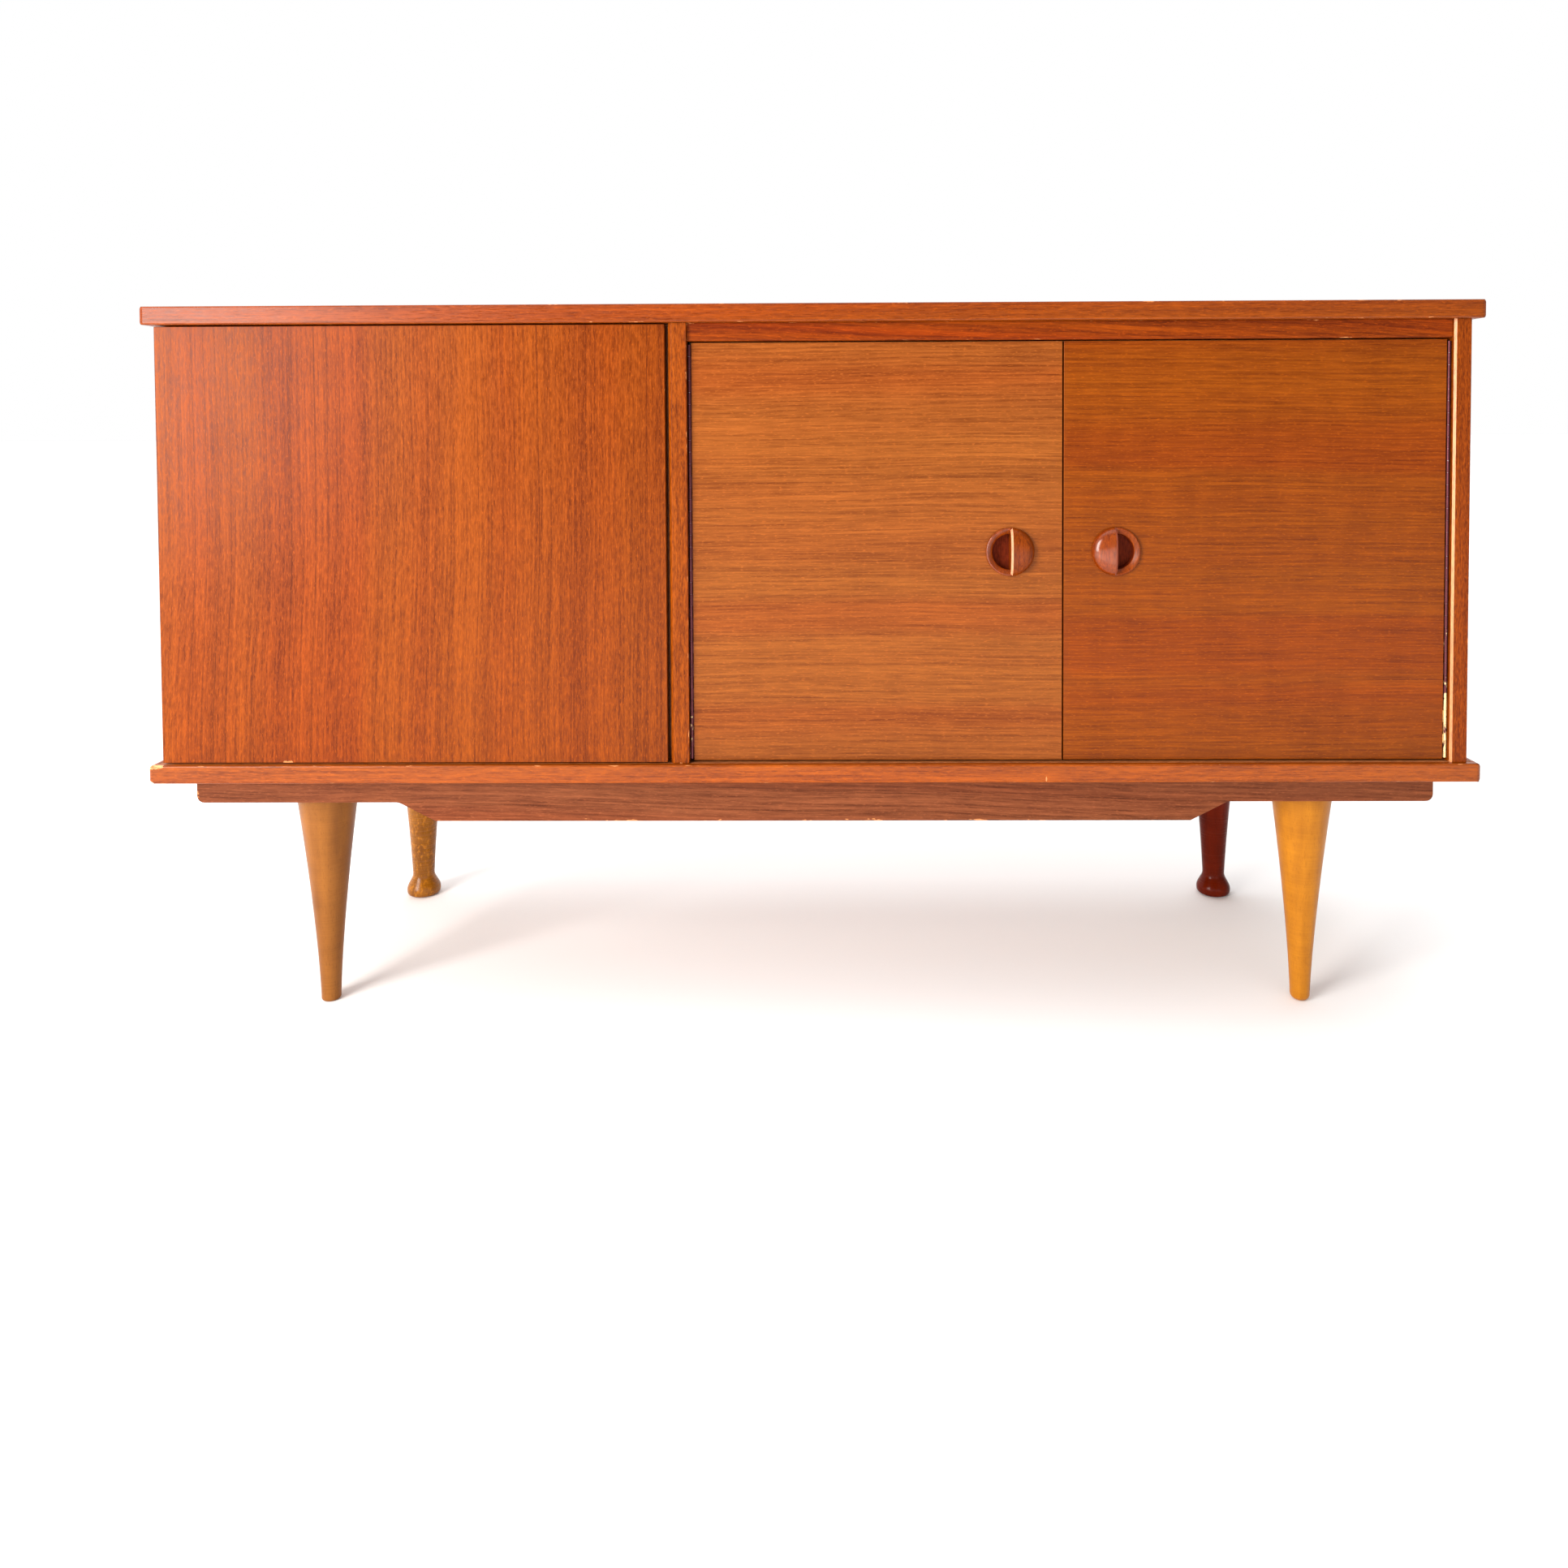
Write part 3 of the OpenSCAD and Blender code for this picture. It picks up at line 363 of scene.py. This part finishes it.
def make_piece(name, mesh, materials, body, replaced):
    """Shows mesh as a piece that rides on body and stands for the CAD node replaced."""
    piece = bpy.data.objects.new(name, mesh)
    bpy.context.collection.objects.link(piece)
    for material in materials:
        mesh.materials.append(material)
    mesh.shade_smooth()
    mesh.set_sharp_from_angle(angle=SMOOTH_BELOW)
    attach(piece, body)
    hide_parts(replaced)
    return piece


def keep_flat(obj):
    """Shades flat faces as flat right up to their rounded arrises."""
    shading = obj.modifiers.new("flat_faces", "WEIGHTED_NORMAL")
    shading.weight = 100
    shading.keep_sharp = True
    shading.use_face_influence = True


def soften(node, width):
    """Rounds the arrises of a CAD node with modifiers, and shades it smoothly."""
    obj = nodes[node]
    obj.data.shade_smooth()
    obj.data.set_sharp_from_angle(angle=SMOOTH_BELOW)
    weld = obj.modifiers.new("joined", "WELD")
    weld.merge_threshold = 0.001 * MM
    bevel = obj.modifiers.new("arrises", "BEVEL")
    bevel.width = width
    bevel.segments = 3
    bevel.limit_method = "ANGLE"
    bevel.angle_limit = math.radians(40)
    bevel.use_clamp_overlap = False
    bevel.face_strength_mode = "FSTR_AFFECTED"
    keep_flat(obj)


def lathe(outline, steps, phase=0.0):
    """A bmesh turned about Z from (radius, height) points, the first and last on the axis."""
    bm = bmesh.new()
    rings = []
    for radius, height in outline:
        if radius < 1e-7:
            rings.append([bm.verts.new((0, 0, height))])
            continue
        turn = [2 * math.pi * (i + phase) / steps for i in range(steps)]
        rings.append([bm.verts.new((radius * math.cos(a), radius * math.sin(a), height)) for a in turn])
    for lower, upper in zip(rings, rings[1:]):
        for i in range(steps):
            j = (i + 1) % steps
            corners = [ring[k % len(ring)] for ring, k in ((lower, i), (lower, j), (upper, j), (upper, i))]
            bm.faces.new(dict.fromkeys(corners))
    bmesh.ops.recalc_face_normals(bm, faces=bm.faces)
    return bm


def as_mesh(bm, name):
    mesh = bpy.data.meshes.new(name)
    bm.to_mesh(mesh)
    bm.free()
    return mesh


def evaluated(obj):
    """A new bmesh of an object with its modifiers applied."""
    bm = bmesh.new()
    bm.from_mesh(obj.evaluated_get(bpy.context.evaluated_depsgraph_get()).to_mesh())
    return bm


def combine(first, second, operation):
    """The boolean of two bmeshes, as a new one. Both are used up."""
    parts = []
    for bm in (first, second):
        part = bpy.data.objects.new("part", as_mesh(bm, "part"))
        bpy.context.collection.objects.link(part)
        parts.append(part)
    boolean = parts[0].modifiers.new("boolean", "BOOLEAN")
    boolean.operation = operation
    boolean.object = parts[1]
    boolean.solver = "MANIFOLD"
    result = evaluated(parts[0])
    for part in parts:
        bpy.data.objects.remove(part)
    return result


def rod(corners, low, high):
    """A bmesh of an outline, given as corners in X and Y, drawn out along Z."""
    bm = bmesh.new()
    bottom, top = ([bm.verts.new((x, y, z)) for x, y in corners] for z in (low, high))
    for i in range(len(corners)):
        j = (i + 1) % len(corners)
        bm.faces.new((bottom[i], bottom[j], top[j], top[i]))
    bm.faces.new(bottom)
    bm.faces.new(top)
    bmesh.ops.recalc_face_normals(bm, faces=bm.faces)
    return bm


def splinter(centre, radii, seed):
    """A ragged lump to take out of a board where it has chipped."""
    bm = bmesh.new()
    bmesh.ops.create_icosphere(bm, subdivisions=4, radius=1.0)
    shift = Vector((seed, 0, 0))
    for vert in bm.verts:
        lumps = noise.noise(vert.co * 1.7 + shift)
        rough = 1 + 0.3 * lumps + 0.12 * noise.noise(vert.co * 5)
        vert.co = Vector(centre) + Vector([c * r * rough for c, r in zip(vert.co, radii)])
    return bm


def carved(node, arris, material, raw, cutters):
    """The CAD node, its arrises rounded and the cutters taken out, as a piece that stands for it. The
    slanted faces that the cutters leave show raw."""
    soften(node, arris)
    shape = evaluated(nodes[node])
    boxes = []
    for cutter in cutters:
        axes = list(zip(*(vert.co for vert in cutter.verts)))
        boxes.append([(min(axis), max(axis)) for axis in axes])
        shape = combine(shape, cutter, "DIFFERENCE")
    shape.normal_update()
    for face in shape.faces:
        centre = face.calc_center_median()
        cut = any(all(low <= c <= high for c, (low, high) in zip(centre, box)) for box in boxes)
        slanted = max(abs(c) for c in face.normal) < 0.999
        face.material_index = int(cut and slanted)
    mesh = as_mesh(shape, node + "_carved")
    keep_flat(make_piece(node + "_carved", mesh, [material, raw], "cabinet", node))


# ---------- Legs ----------

def turned_leg(node, foot, flare, foot_round, material):
    """A turned leg with its CAD node's taper. foot is its radius near the floor, flare how much the foot
    widens and foot_round the rounding under it."""
    low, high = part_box(node)
    height = high.z - low.z
    flare_low, flare_high = 8 * MM, 30 * MM
    top = 33.5 * MM
    top_round = 0.6 * MM

    def radius(z):
        t = min(1.0, max(0.0, (z - flare_low) / (flare_high - flare_low)))
        return foot + (top - foot) * (z / height) ** 1.4 + flare * (1 - t * t * (3 - 2 * t))

    outline = [(0.0, 0.0)]
    for i in range(9):
        a = math.radians(-90 + 90 * i / 8)
        out = radius(foot_round) + foot_round * (math.cos(a) - 1)
        outline.append((out, foot_round * (1 + math.sin(a))))
    rings = 60
    for i in range(1, rings):
        z = foot_round + (height - 2 * top_round - foot_round) * (i / rings) ** 1.3
        outline.append((radius(z), z))
    outline.append((radius(height - top_round), height - top_round))
    outline += [(radius(height) - top_round, height), (0.0, height)]
    bm = lathe(outline, 128)
    centre = Vector(((low.x + high.x) / 2, (low.y + high.y) / 2, low.z))
    bmesh.ops.translate(bm, verts=bm.verts, vec=centre)
    make_piece(node + "_turned", as_mesh(bm, node + "_turned"), [material], "cabinet", node)


def leg_wood(name, tones, seed, roughness, turning_depth=0.5, blotches=0.0, specks=(), **fixed):
    """Varnished turned wood: long grain, fine turning lines round the leg, paler worn blotches, and a dark
    speck at each of specks."""
    s = Shader(name)
    dark, middle, light = tones
    place = s.grain_space("Z", seed)
    bands = s.noise(place, (3.0, 60.0, 60.0), detail=3.0)
    rays = s.noise(place, (160.0, 800.0, 800.0), detail=1.0)
    turning = s.noise(place, (800.0, 14.0, 14.0), detail=3.0, roughness=0.7)
    cross = s.noise(place, (40.0, 22.0, 22.0), detail=3.0)
    tone = s.plus(0.5, s.times(s.plus(bands, -0.5), 1.3))
    tone = s.plus(tone, s.times(s.plus(turning, -0.5), turning_depth))
    tone = s.plus(tone, s.times(s.plus(cross, -0.5), 0.6))
    colour = s.ramp(tone, (0.1, dark), (0.5, middle), (0.9, light))
    colour = s.mix(s.remap(rays, 0.56, 0.72, 0.0, 0.4), colour, dark)
    if blotches:
        patch = s.noise(place, (150.0, 240.0, 240.0), detail=4.0, roughness=0.7)
        colour = s.mix(s.remap(patch, 0.52, 0.62, 0.0, blotches), colour, times_tone(light, 1.6))
    for spot in specks:
        ragged = s.noise(s.position(), (500.0, 500.0, 500.0), detail=2.0)
        edge = s.plus(s.distance(spot, (0.7, 0.7, 1.2)), s.times(s.plus(ragged, -0.5), 1.6 * MM))
        colour = s.mix(s.remap(edge, 0.5 * MM, 1.6 * MM, 0.9, 0.0), colour, srgb(80, 34, 8))
    gloss = s.remap(turning, 0.3, 0.7, roughness - 0.04, roughness + 0.08)
    return s.finish(colour, gloss, turning, 0.03 * MM, **fixed)


# ---------- Handles ----------

HANDLE_STEPS = 160
# Places in a handle's list of materials. The dome's is 0.
RIM, LAND, RECESS = 1, 2, 3


def half_turned(outline, flat_side, chamfer):
    """Half of a turned solid. Its flat face lies on the axis and looks to flat_side, -1 or 1 along X, and
    the arris round that face is chamfered."""
    bm = lathe(outline, HANDLE_STEPS)
    geometry = bm.verts[:] + bm.edges[:] + bm.faces[:]
    cut = bmesh.ops.bisect_plane(bm, geom=geometry, plane_co=(-flat_side * chamfer, 0, 0),
                                 plane_no=(flat_side, 0, 0), clear_outer=True)
    loop = [part for part in cut["geom_cut"] if isinstance(part, bmesh.types.BMEdge)]
    flat = bmesh.ops.contextual_create(bm, geom=loop)["faces"]
    bmesh.ops.recalc_face_normals(bm, faces=bm.faces)
    bmesh.ops.inset_region(bm, faces=flat, thickness=chamfer, depth=chamfer, use_even_offset=True)
    bmesh.ops.recalc_face_normals(bm, faces=bm.faces)
    return bm


def handle_piece(node, door, recess_side, dome_wood, rim_wood, land_wood, shaded_recess_wood):
    """A round pull: one half is a dome with a slanted land along its straight edge, the other half a finger
    recess inside a dished rim. recess_side is -1 for the left half and 1 for the right."""
    low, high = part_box(node)
    face_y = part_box(door)[0].y
    outer = (high.x - low.x) / 2
    dome = face_y - low.y
    back = high.y - face_y
    well = outer - 7 * MM
    rim_height, rim_rounding = 3.5 * MM, 1.6 * MM
    recess = 9.6 * MM
    land = 2.1 * MM
    neck = 1.5 * MM
    buried = 3 * MM

    rim_line = []
    for i in range(12):
        a = math.radians(120 * i / 11)
        out = outer - rim_rounding + rim_rounding * math.cos(a)
        rim_line.append((out, rim_height - rim_rounding + rim_rounding * math.sin(a)))
    lip_steps = ((1.0, 1.2), (0.4, 0.8), (0.1, 0.3), (0.0, -0.3))
    lip = [(well + out * MM, up * MM) for out, up in lip_steps]
    bowl = [(well, -recess + 2 * MM), (well - 0.6 * MM, -recess + 0.6 * MM), (well - 2 * MM, -recess)]
    foot = [(0.0, -back), (outer - neck, -back), (outer - neck, 0.0), (outer, 0.0)]
    cup = lathe(foot + rim_line + lip + bowl + [(0.0, -recess)], HANDLE_STEPS, phase=0.5)

    root = [(0.0, -recess - buried), (well + buried, -recess - buried), (well + buried, -0.8 * MM)]
    dome_line = [(outer - 0.05 * MM, 0.3 * MM)]
    for i in range(1, 24):
        a = math.radians(90 * i / 24)
        dome_line.append((outer * math.cos(a) ** 0.8, dome * math.sin(a) ** 0.8))
    pull = combine(cup, half_turned(root + dome_line + [(0.0, dome)], recess_side, land), "UNION")

    bmesh.ops.remove_doubles(pull, verts=pull.verts, dist=0.002 * MM)
    pull.normal_update()
    for face in pull.faces:
        centre = face.calc_center_median()
        slanted = abs(face.normal.x * recess_side - math.sqrt(0.5)) < 0.03
        if centre.xy.length < well + 0.2 * MM and centre.z < 0.5 * MM:
            face.material_index = RECESS
        elif slanted and abs(centre.x) < 1.01 * land:
            face.material_index = LAND
        elif centre.x * recess_side > 0:
            face.material_index = RIM
    turn = Matrix.Rotation(math.radians(90), 4, "X")
    centre = Vector(((low.x + high.x) / 2, face_y, (low.z + high.z) / 2))
    bmesh.ops.transform(pull, matrix=Matrix.Translation(centre) @ turn, verts=pull.verts)
    materials = [dome_wood, rim_wood, land_wood, shaded_recess_wood]
    make_piece(node + "_turned", as_mesh(pull, node + "_turned"), materials, door, node)


# ---------- Camera, floor and light ----------

def place_camera():
    """Almost straight in front, a little above the middle, looking very slightly down and to the left."""
    place = Vector((0.026, cad_box[0][1] - 1.222, 0.6625))
    yaw, pitch, roll = (math.radians(a) for a in (0.55, -1.73, 0.26))
    forward = Vector((-math.sin(yaw) * math.cos(pitch), math.cos(yaw) * math.cos(pitch), math.sin(pitch)))
    right = forward.cross(Vector((0, 0, 1))).normalized()
    up = right.cross(forward)
    right, up = right * math.cos(roll) - up * math.sin(roll), right * math.sin(roll) + up * math.cos(roll)
    data = bpy.data.cameras.new("camera")
    data.sensor_width = 36.0
    data.lens = 26.075
    data.shift_x = -0.0248
    data.shift_y = -0.2063
    data.clip_end = 200.0
    camera = bpy.data.objects.new("camera", data)
    bpy.context.collection.objects.link(camera)
    turn = Matrix((right, up, -forward)).transposed().to_4x4()
    camera.matrix_world = Matrix.Translation(place) @ turn
    bpy.context.scene.camera = camera


def area_light(name, place, target, size, power, colour=(1.0, 1.0, 1.0)):
    data = bpy.data.lights.new(name, "AREA")
    data.shape = "RECTANGLE"
    data.size, data.size_y = size
    data.energy = power
    data.color = colour
    light = bpy.data.objects.new(name, data)
    bpy.context.collection.objects.link(light)
    aim = (Vector(target) - Vector(place)).to_track_quat("-Z", "Y")
    light.matrix_world = Matrix.Translation(place) @ aim.to_matrix().to_4x4()


def surroundings():
    """A bright studio behind the cabinet and to its left, and a dimmer room in front of it. All of it looks
    white to the camera."""
    world = bpy.data.worlds.new("studio")
    world.use_nodes = True
    tree = world.node_tree
    background = tree.nodes["Background"]
    background.inputs["Color"].default_value = (1.0, 1.0, 1.0, 1.0)
    towards_studio = tree.nodes.new("ShaderNodeVectorMath")
    towards_studio.operation = "DOT_PRODUCT"
    towards_studio.inputs[1].default_value = (-0.6, 1.0, 0.0)
    tree.links.new(tree.nodes.new("ShaderNodeTexCoord").outputs["Generated"], towards_studio.inputs[0])
    spread = tree.nodes.new("ShaderNodeMapRange")
    spread.interpolation_type = "SMOOTHSTEP"
    for key, value in {"From Min": -0.5, "From Max": 0.5, "To Min": 0.42, "To Max": 1.45}.items():
        spread.inputs[key].default_value = value
    tree.links.new(towards_studio.outputs["Value"], spread.inputs["Value"])
    seen = tree.nodes.new("ShaderNodeLightPath").outputs["Is Camera Ray"]
    strength = tree.nodes.new("ShaderNodeMix")
    strength.inputs[3].default_value = 1.0
    tree.links.new(seen, strength.inputs[0])
    tree.links.new(spread.outputs[0], strength.inputs[2])
    tree.links.new(strength.outputs[0], background.inputs["Strength"])
    return world


def light_scene():
    """Soft surroundings, a big window at the front left, a low bounce in front, weak light from above."""
    scene = bpy.context.scene
    scene.view_settings.view_transform = "Standard"
    scene.world = surroundings()
    area_light("window", (-1.88, -1.95, 1.18), (-0.4, -0.2, 0.55), (1.1, 1.7), 104.0, (1.0, 0.97, 0.93))
    area_light("bounce", (0.3, -1.3, 0.1), (0.3, -0.2, 0.4), (2.4, 0.8), 9.0)
    overhead = bpy.data.lights.new("overhead", "SUN")
    overhead.energy = 1.2
    overhead.angle = math.radians(70)
    sky = bpy.data.objects.new("overhead", overhead)
    sky.matrix_world = Vector((0.05, 0.1, -1.0)).to_track_quat("-Z", "Y").to_matrix().to_4x4()
    bpy.context.collection.objects.link(sky)


def lay_floor():
    reach = 60.0
    corners = [(-reach, -reach, 0), (reach, -reach, 0), (reach, reach, 0), (-reach, reach, 0)]
    mesh = bpy.data.meshes.new("floor")
    mesh.from_pydata(corners, [], [(0, 1, 2, 3)])
    s = Shader("pale_floor")
    cloud = s.noise(s.position(), (1.2, 1.2, 1.2), detail=3.0)
    tint = s.ramp(cloud, (0.3, (0.92, 0.92, 0.92, 1.0)), (0.7, (0.95, 0.95, 0.95, 1.0)))
    mesh.materials.append(s.finish(tint, s.remap(cloud, 0.3, 0.7, 0.8, 0.9), Specular_IOR_Level=0.2))
    floor = bpy.data.objects.new("floor", mesh)
    bpy.context.collection.objects.link(floor)


# ---------- Finishes ----------

FRONT_LIPPINGS = ("top_front_lipping", "bottom_front_lipping")
END_LIPPINGS = ("top_left_lipping", "top_right_lipping", "bottom_left_lipping", "bottom_right_lipping")
UPRIGHTS = ("left_side_panel", "right_side_panel", "divider_panel")
SHARP_BOARDS = ("top_board", "bottom_board", "top_rail", "left_shelf", "right_shelf", "left_door_stop",
                "top_stop_batten", "left_leg_batten", "right_leg_batten", "back_panel")
BASE_RAILS = {"front_apron": "X", "rear_base_rail": "X", "left_base_rail": "Y", "right_base_rail": "Y"}


def paint(material, *names):
    for name in names:
        mesh = nodes[name].data
        mesh.materials.clear()
        mesh.materials.append(material)


def chamfer_cutter(node, width):
    """What to take off an upright's front left arris to slant it back by width."""
    low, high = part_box(node)
    over = 1 * MM
    corners = [(low.x + width, low.y), (low.x + width, low.y - over), (low.x - over, low.y - over),
               (low.x - over, low.y + width), (low.x, low.y + width)]
    return rod(corners, low.z - over, high.z + over)


def finish_carcass():
    top = lacquered("top_veneer", "top_board", "X", TOP_TEAK, seed=1.0, band=16.0, rings=40.0,
                    ring_drift=4.0)
    paint(top, "top_board")
    paint(wood("inside_floor", "X", INSIDE_TEAK, seed=2.0, roughness=0.55), "bottom_board")
    raw = wood("raw_teak", "X", shades(226, 160, 104, 0.2), seed=9.0, roughness=0.6)
    # The right panel's chamfer is rubbed pale, and paler still with painted light, standing in for the
    # window light on this left-facing strip.
    rubbed = wood("rubbed_and_lit_chamfer", "Z", shades(206, 132, 76, 0.2), seed=10.0, roughness=0.35)
    lipping = dict(rings=130.0, ring_drift=3.0, threads=300.0, thread_depth=1.5, fibre_length=1 / 60,
                   fibre_depth=1.2, roughness=0.3, pores=0.3, Specular_IOR_Level=0.22)
    low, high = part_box("bottom_front_lipping")
    scratch = ((0.255, low.y, high.z - 16 * MM), (0.8 * MM, 2 * MM, 3.5 * MM))
    for i, node in enumerate(FRONT_LIPPINGS + END_LIPPINGS):
        grain = "X" if node in FRONT_LIPPINGS else "Y"
        tones = TOP_LIPPING if node.startswith("top") else BOTTOM_LIPPING
        marks = [scratch] if node == "bottom_front_lipping" else []
        paint(lacquered(node + "_wood", node, grain, tones, seed=4.0 + i, marks=marks, **lipping), node)
    for i, node in enumerate(UPRIGHTS):
        paint(lacquered(node + "_wood", node, "Z", PANEL_TEAK, seed=11.0 + i), node)
    rail = lacquered("rail_wood", "top_rail", "X", RAIL_TEAK, seed=15.0, band=60.0, band_depth=1.4,
                     hue_depth=0.8, slope=0.05, wander=12 * MM, rings=220.0, ring_drift=9.0, ring_dark=0.8,
                     thread_depth=1.8, fibre_length=1 / 50, fibre_depth=1.2, pores=0.2)
    paint(rail, "top_rail")
    paint(wood("stop_wood", "Z", INSIDE_TEAK, seed=17.0, roughness=0.55), "left_door_stop")
    shelf = wood("shelf_wood", "X", INSIDE_TEAK, seed=19.0, rings=30.0, roughness=0.5)
    paint(shelf, "left_shelf", "right_shelf")
    paint(ply_face("ply_back"), "back_panel")
    bare = dict(roughness=0.62, pores=0.15, flecks=0.1, ring_dark=0.15, thread_depth=0.4, fibre_depth=0.8)
    long_beech = wood("bare_beech", "X", RAW_BEECH, seed=23.0, **bare)
    paint(long_beech, "top_stop_batten", "carcass_dowels", "base_dowels")
    deep_beech = wood("bare_beech_batten", "Y", RAW_BEECH, seed=24.0, **bare)
    paint(deep_beech, "left_leg_batten", "right_leg_batten")
    base = dict(seed=33.0, band=40.0, slope=0.03, wander=9 * MM, rings=170.0, ring_drift=3.0, ring_dark=0.6,
                threads=300.0, thread_depth=1.8, fibre_length=1 / 45, fibre_depth=1.2, pores=0.2,
                roughness=0.45, worn_width=1.2 * MM)
    for node, grain in BASE_RAILS.items():
        paint(lacquered(node + "_wood", node, grain, BASE_TEAK, **base), node)
    for node in SHARP_BOARDS + tuple(BASE_RAILS) + ("left_side_panel",):
        soften(node, 0.7 * MM)
    for node in ("top_front_lipping",) + END_LIPPINGS:
        soften(node, 0.8 * MM)

    soften("divider_panel", 0.5 * MM)
    panel_wood = nodes["right_side_panel"].data.materials[0]
    slant = chamfer_cutter("right_side_panel", 2.2 * MM)
    carved("right_side_panel", 0.5 * MM, panel_wood, rubbed, [slant])
    corner = splinter((low.x + 9 * MM, low.y, high.z - 0.3 * MM), (8 * MM, 4 * MM, 3 * MM), 1.0)
    crack = splinter((low.x + 6 * MM, low.y, high.z - 4 * MM), (7 * MM, 3 * MM, 0.5 * MM), 2.0)
    underside = splinter((low.x + 1 * MM, low.y, low.z), (6 * MM, 4 * MM, 3 * MM), 3.0)
    lipping_wood = nodes["bottom_front_lipping"].data.materials[0]
    carved("bottom_front_lipping", 1.2 * MM, lipping_wood, raw, [corner, crack, underside])


def finish_doors():
    grained = dict(threads=420.0, roughness=0.32, worn_start=0.62)
    door_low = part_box("left_door")[0]
    nick = ((-0.573, door_low.y, door_low.z + 0.5 * MM), (5 * MM, 2 * MM, 2 * MM))
    left = lacquered("left_door_veneer", "left_door", "Z", LEFT_DOOR, seed=31.0, band=20.0, band_depth=0.7,
                     rings=75.0, ring_chance=0.2, ring_dark=0.7, splay=0.02, thread_depth=1.3,
                     fibre_length=1 / 110, fibre_depth=1.5, ripple=0.25, pores=0.06, flecks=0.5,
                     marks=[nick], **grained)
    lying = dict(band=36.0, rings=150.0, band_depth=0.35, thread_depth=1.35, fibre_length=1 / 40,
                 fibre_depth=0.9, pores=0.08, **grained)
    middle = lacquered("middle_door_veneer", "middle_door", "X", MIDDLE_DOOR, seed=36.0, wander=9 * MM,
                       **lying)
    right = lacquered("right_door_veneer", "right_door", "X", RIGHT_DOOR, seed=39.0, wander=7 * MM,
                      ripple=0.4, **lying)
    for node, veneer in (("left_door", left), ("middle_door", middle), ("right_door", right)):
        paint(veneer, node)
        soften(node, 0.6 * MM)
    turned = dict(seed=43.0, band=90.0, band_depth=1.2, rings=260.0, ring_drift=9.0, ring_dark=0.5,
                  fibre_depth=1.0, roughness=0.3, Specular_IOR_Level=0.05)
    satin = wood("satin_handle_wood", "Z", HANDLE_TEAK, Coat_Weight=0.25, Coat_Roughness=0.3, **turned)
    glossy = wood("glossy_handle_wood", "Z", HANDLE_TEAK, Coat_Weight=0.8, Coat_Roughness=0.16, **turned)
    # The hollow's wood is darker than the handle's: painted shade inside the finger recess.
    shaded_hollow = wood("handle_hollow_painted_shade_wood", "Z", shades(96, 30, 10), seed=43.0, pores=0.2, roughness=0.6,
                  Specular_IOR_Level=0.05)
    # Both lands are rubbed paler than the handle. The left handle's land is paler still with painted light,
    # as it faces the window, and the right handle's is darker with painted shade.
    pale = wood("left_land_rubbed_and_lit_wood", "Z", shades(214, 150, 112, 0.1), seed=44.0, roughness=0.35)
    brown = wood("right_land_rubbed_and_shaded_wood", "Z", shades(160, 80, 56, 0.2), seed=45.0, roughness=0.35)
    handle_piece("middle_handle", "middle_door", -1, satin, glossy, pale, shaded_hollow)
    handle_piece("right_handle", "right_door", 1, glossy, satin, brown, shaded_hollow)


def finish_legs():
    left = leg_wood("left_leg_beech", LEFT_BEECH, 51.0, 0.34, Specular_IOR_Level=0.2)
    low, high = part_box("front_right_leg")
    middle_x, front_y = (low.x + high.x) / 2, low.y
    specks = [(middle_x + x * MM, front_y + y * MM, high.z - z * MM)
              for x, y, z in ((-6, 3, 57), (-20, 14, 73), (-10, 9, 95))]
    right = leg_wood("right_leg_beech", RIGHT_BEECH, 54.0, 0.34, specks=specks, Specular_IOR_Level=0.2)
    glossy = dict(turning_depth=0.15, Coat_Weight=0.08, Coat_Roughness=0.15)
    rear_left = leg_wood("rear_left_leg_wood", LEFT_REAR, 57.0, 0.25, blotches=0.5, Specular_IOR_Level=0.2,
                         **glossy)
    rear_right = leg_wood("rear_right_leg_wood", RIGHT_REAR, 59.0, 0.22, Specular_IOR_Level=0.05, **glossy)
    turned_leg("front_left_leg", 10.6 * MM, 0.0, 3 * MM, left)
    turned_leg("front_right_leg", 10.6 * MM, 0.0, 7 * MM, right)
    turned_leg("rear_left_leg", 13.6 * MM, 9 * MM, 6 * MM, rear_left)
    turned_leg("rear_right_leg", 13.6 * MM, 9 * MM, 6 * MM, rear_right)


def finish_hardware():
    brass = metal("screw_brass", srgb(190, 150, 96), srgb(110, 76, 48), 0.32)
    zinc = metal("zinc_steel", srgb(196, 198, 200), srgb(130, 126, 120), 0.3)
    ferrite = metal("plain_steel", srgb(120, 120, 124), srgb(70, 66, 62), 0.45)
    plastic = moulded_plastic("catch_plastic", srgb(70, 44, 28))
    brass_nodes = ["shelf_pins", "hinge_frame_screws"]
    zinc_nodes = ["catch_screws", "base_screws", "back_panel_nails", "leg_bolts", "leg_inserts"]
    door_low, door_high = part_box("right_door")
    lit_below = door_low.z + 0.3 * (door_high.z - door_low.z)
    # Each hinge gets its own share of painted highlight: less on the middle door's, which stands in shade
    # by the divider, and more on the right door's, which the window lights.
    for door, highlight_share in (("left", 0.5), ("middle", 0.45), ("right", 0.6)):
        leaves = [f"{door}_hinge_{leaf}_leaf" for leaf in ("frame", "door")]
        paint(tarnished_brass_painted_highlights(f"{door}_hinge_brass", lit_below, highlight_share), *leaves)
        paint(plastic, f"{door}_catch_body")
        brass_nodes.append(f"{door}_door_screws")
        zinc_nodes += [f"{door}_hinge_pin", f"{door}_keeper_plate"]
    paint(brass, *brass_nodes)
    paint(zinc, *zinc_nodes)
    paint(ferrite, "catch_magnets")
    for name, obj in nodes.items():
        if "hinge" in name or name in brass_nodes or name in zinc_nodes or name == "catch_magnets":
            obj.data.shade_smooth()
            obj.data.set_sharp_from_angle(angle=math.radians(30))


place_camera()
light_scene()
lay_floor()
finish_carcass()
finish_doors()
finish_legs()
finish_hardware()
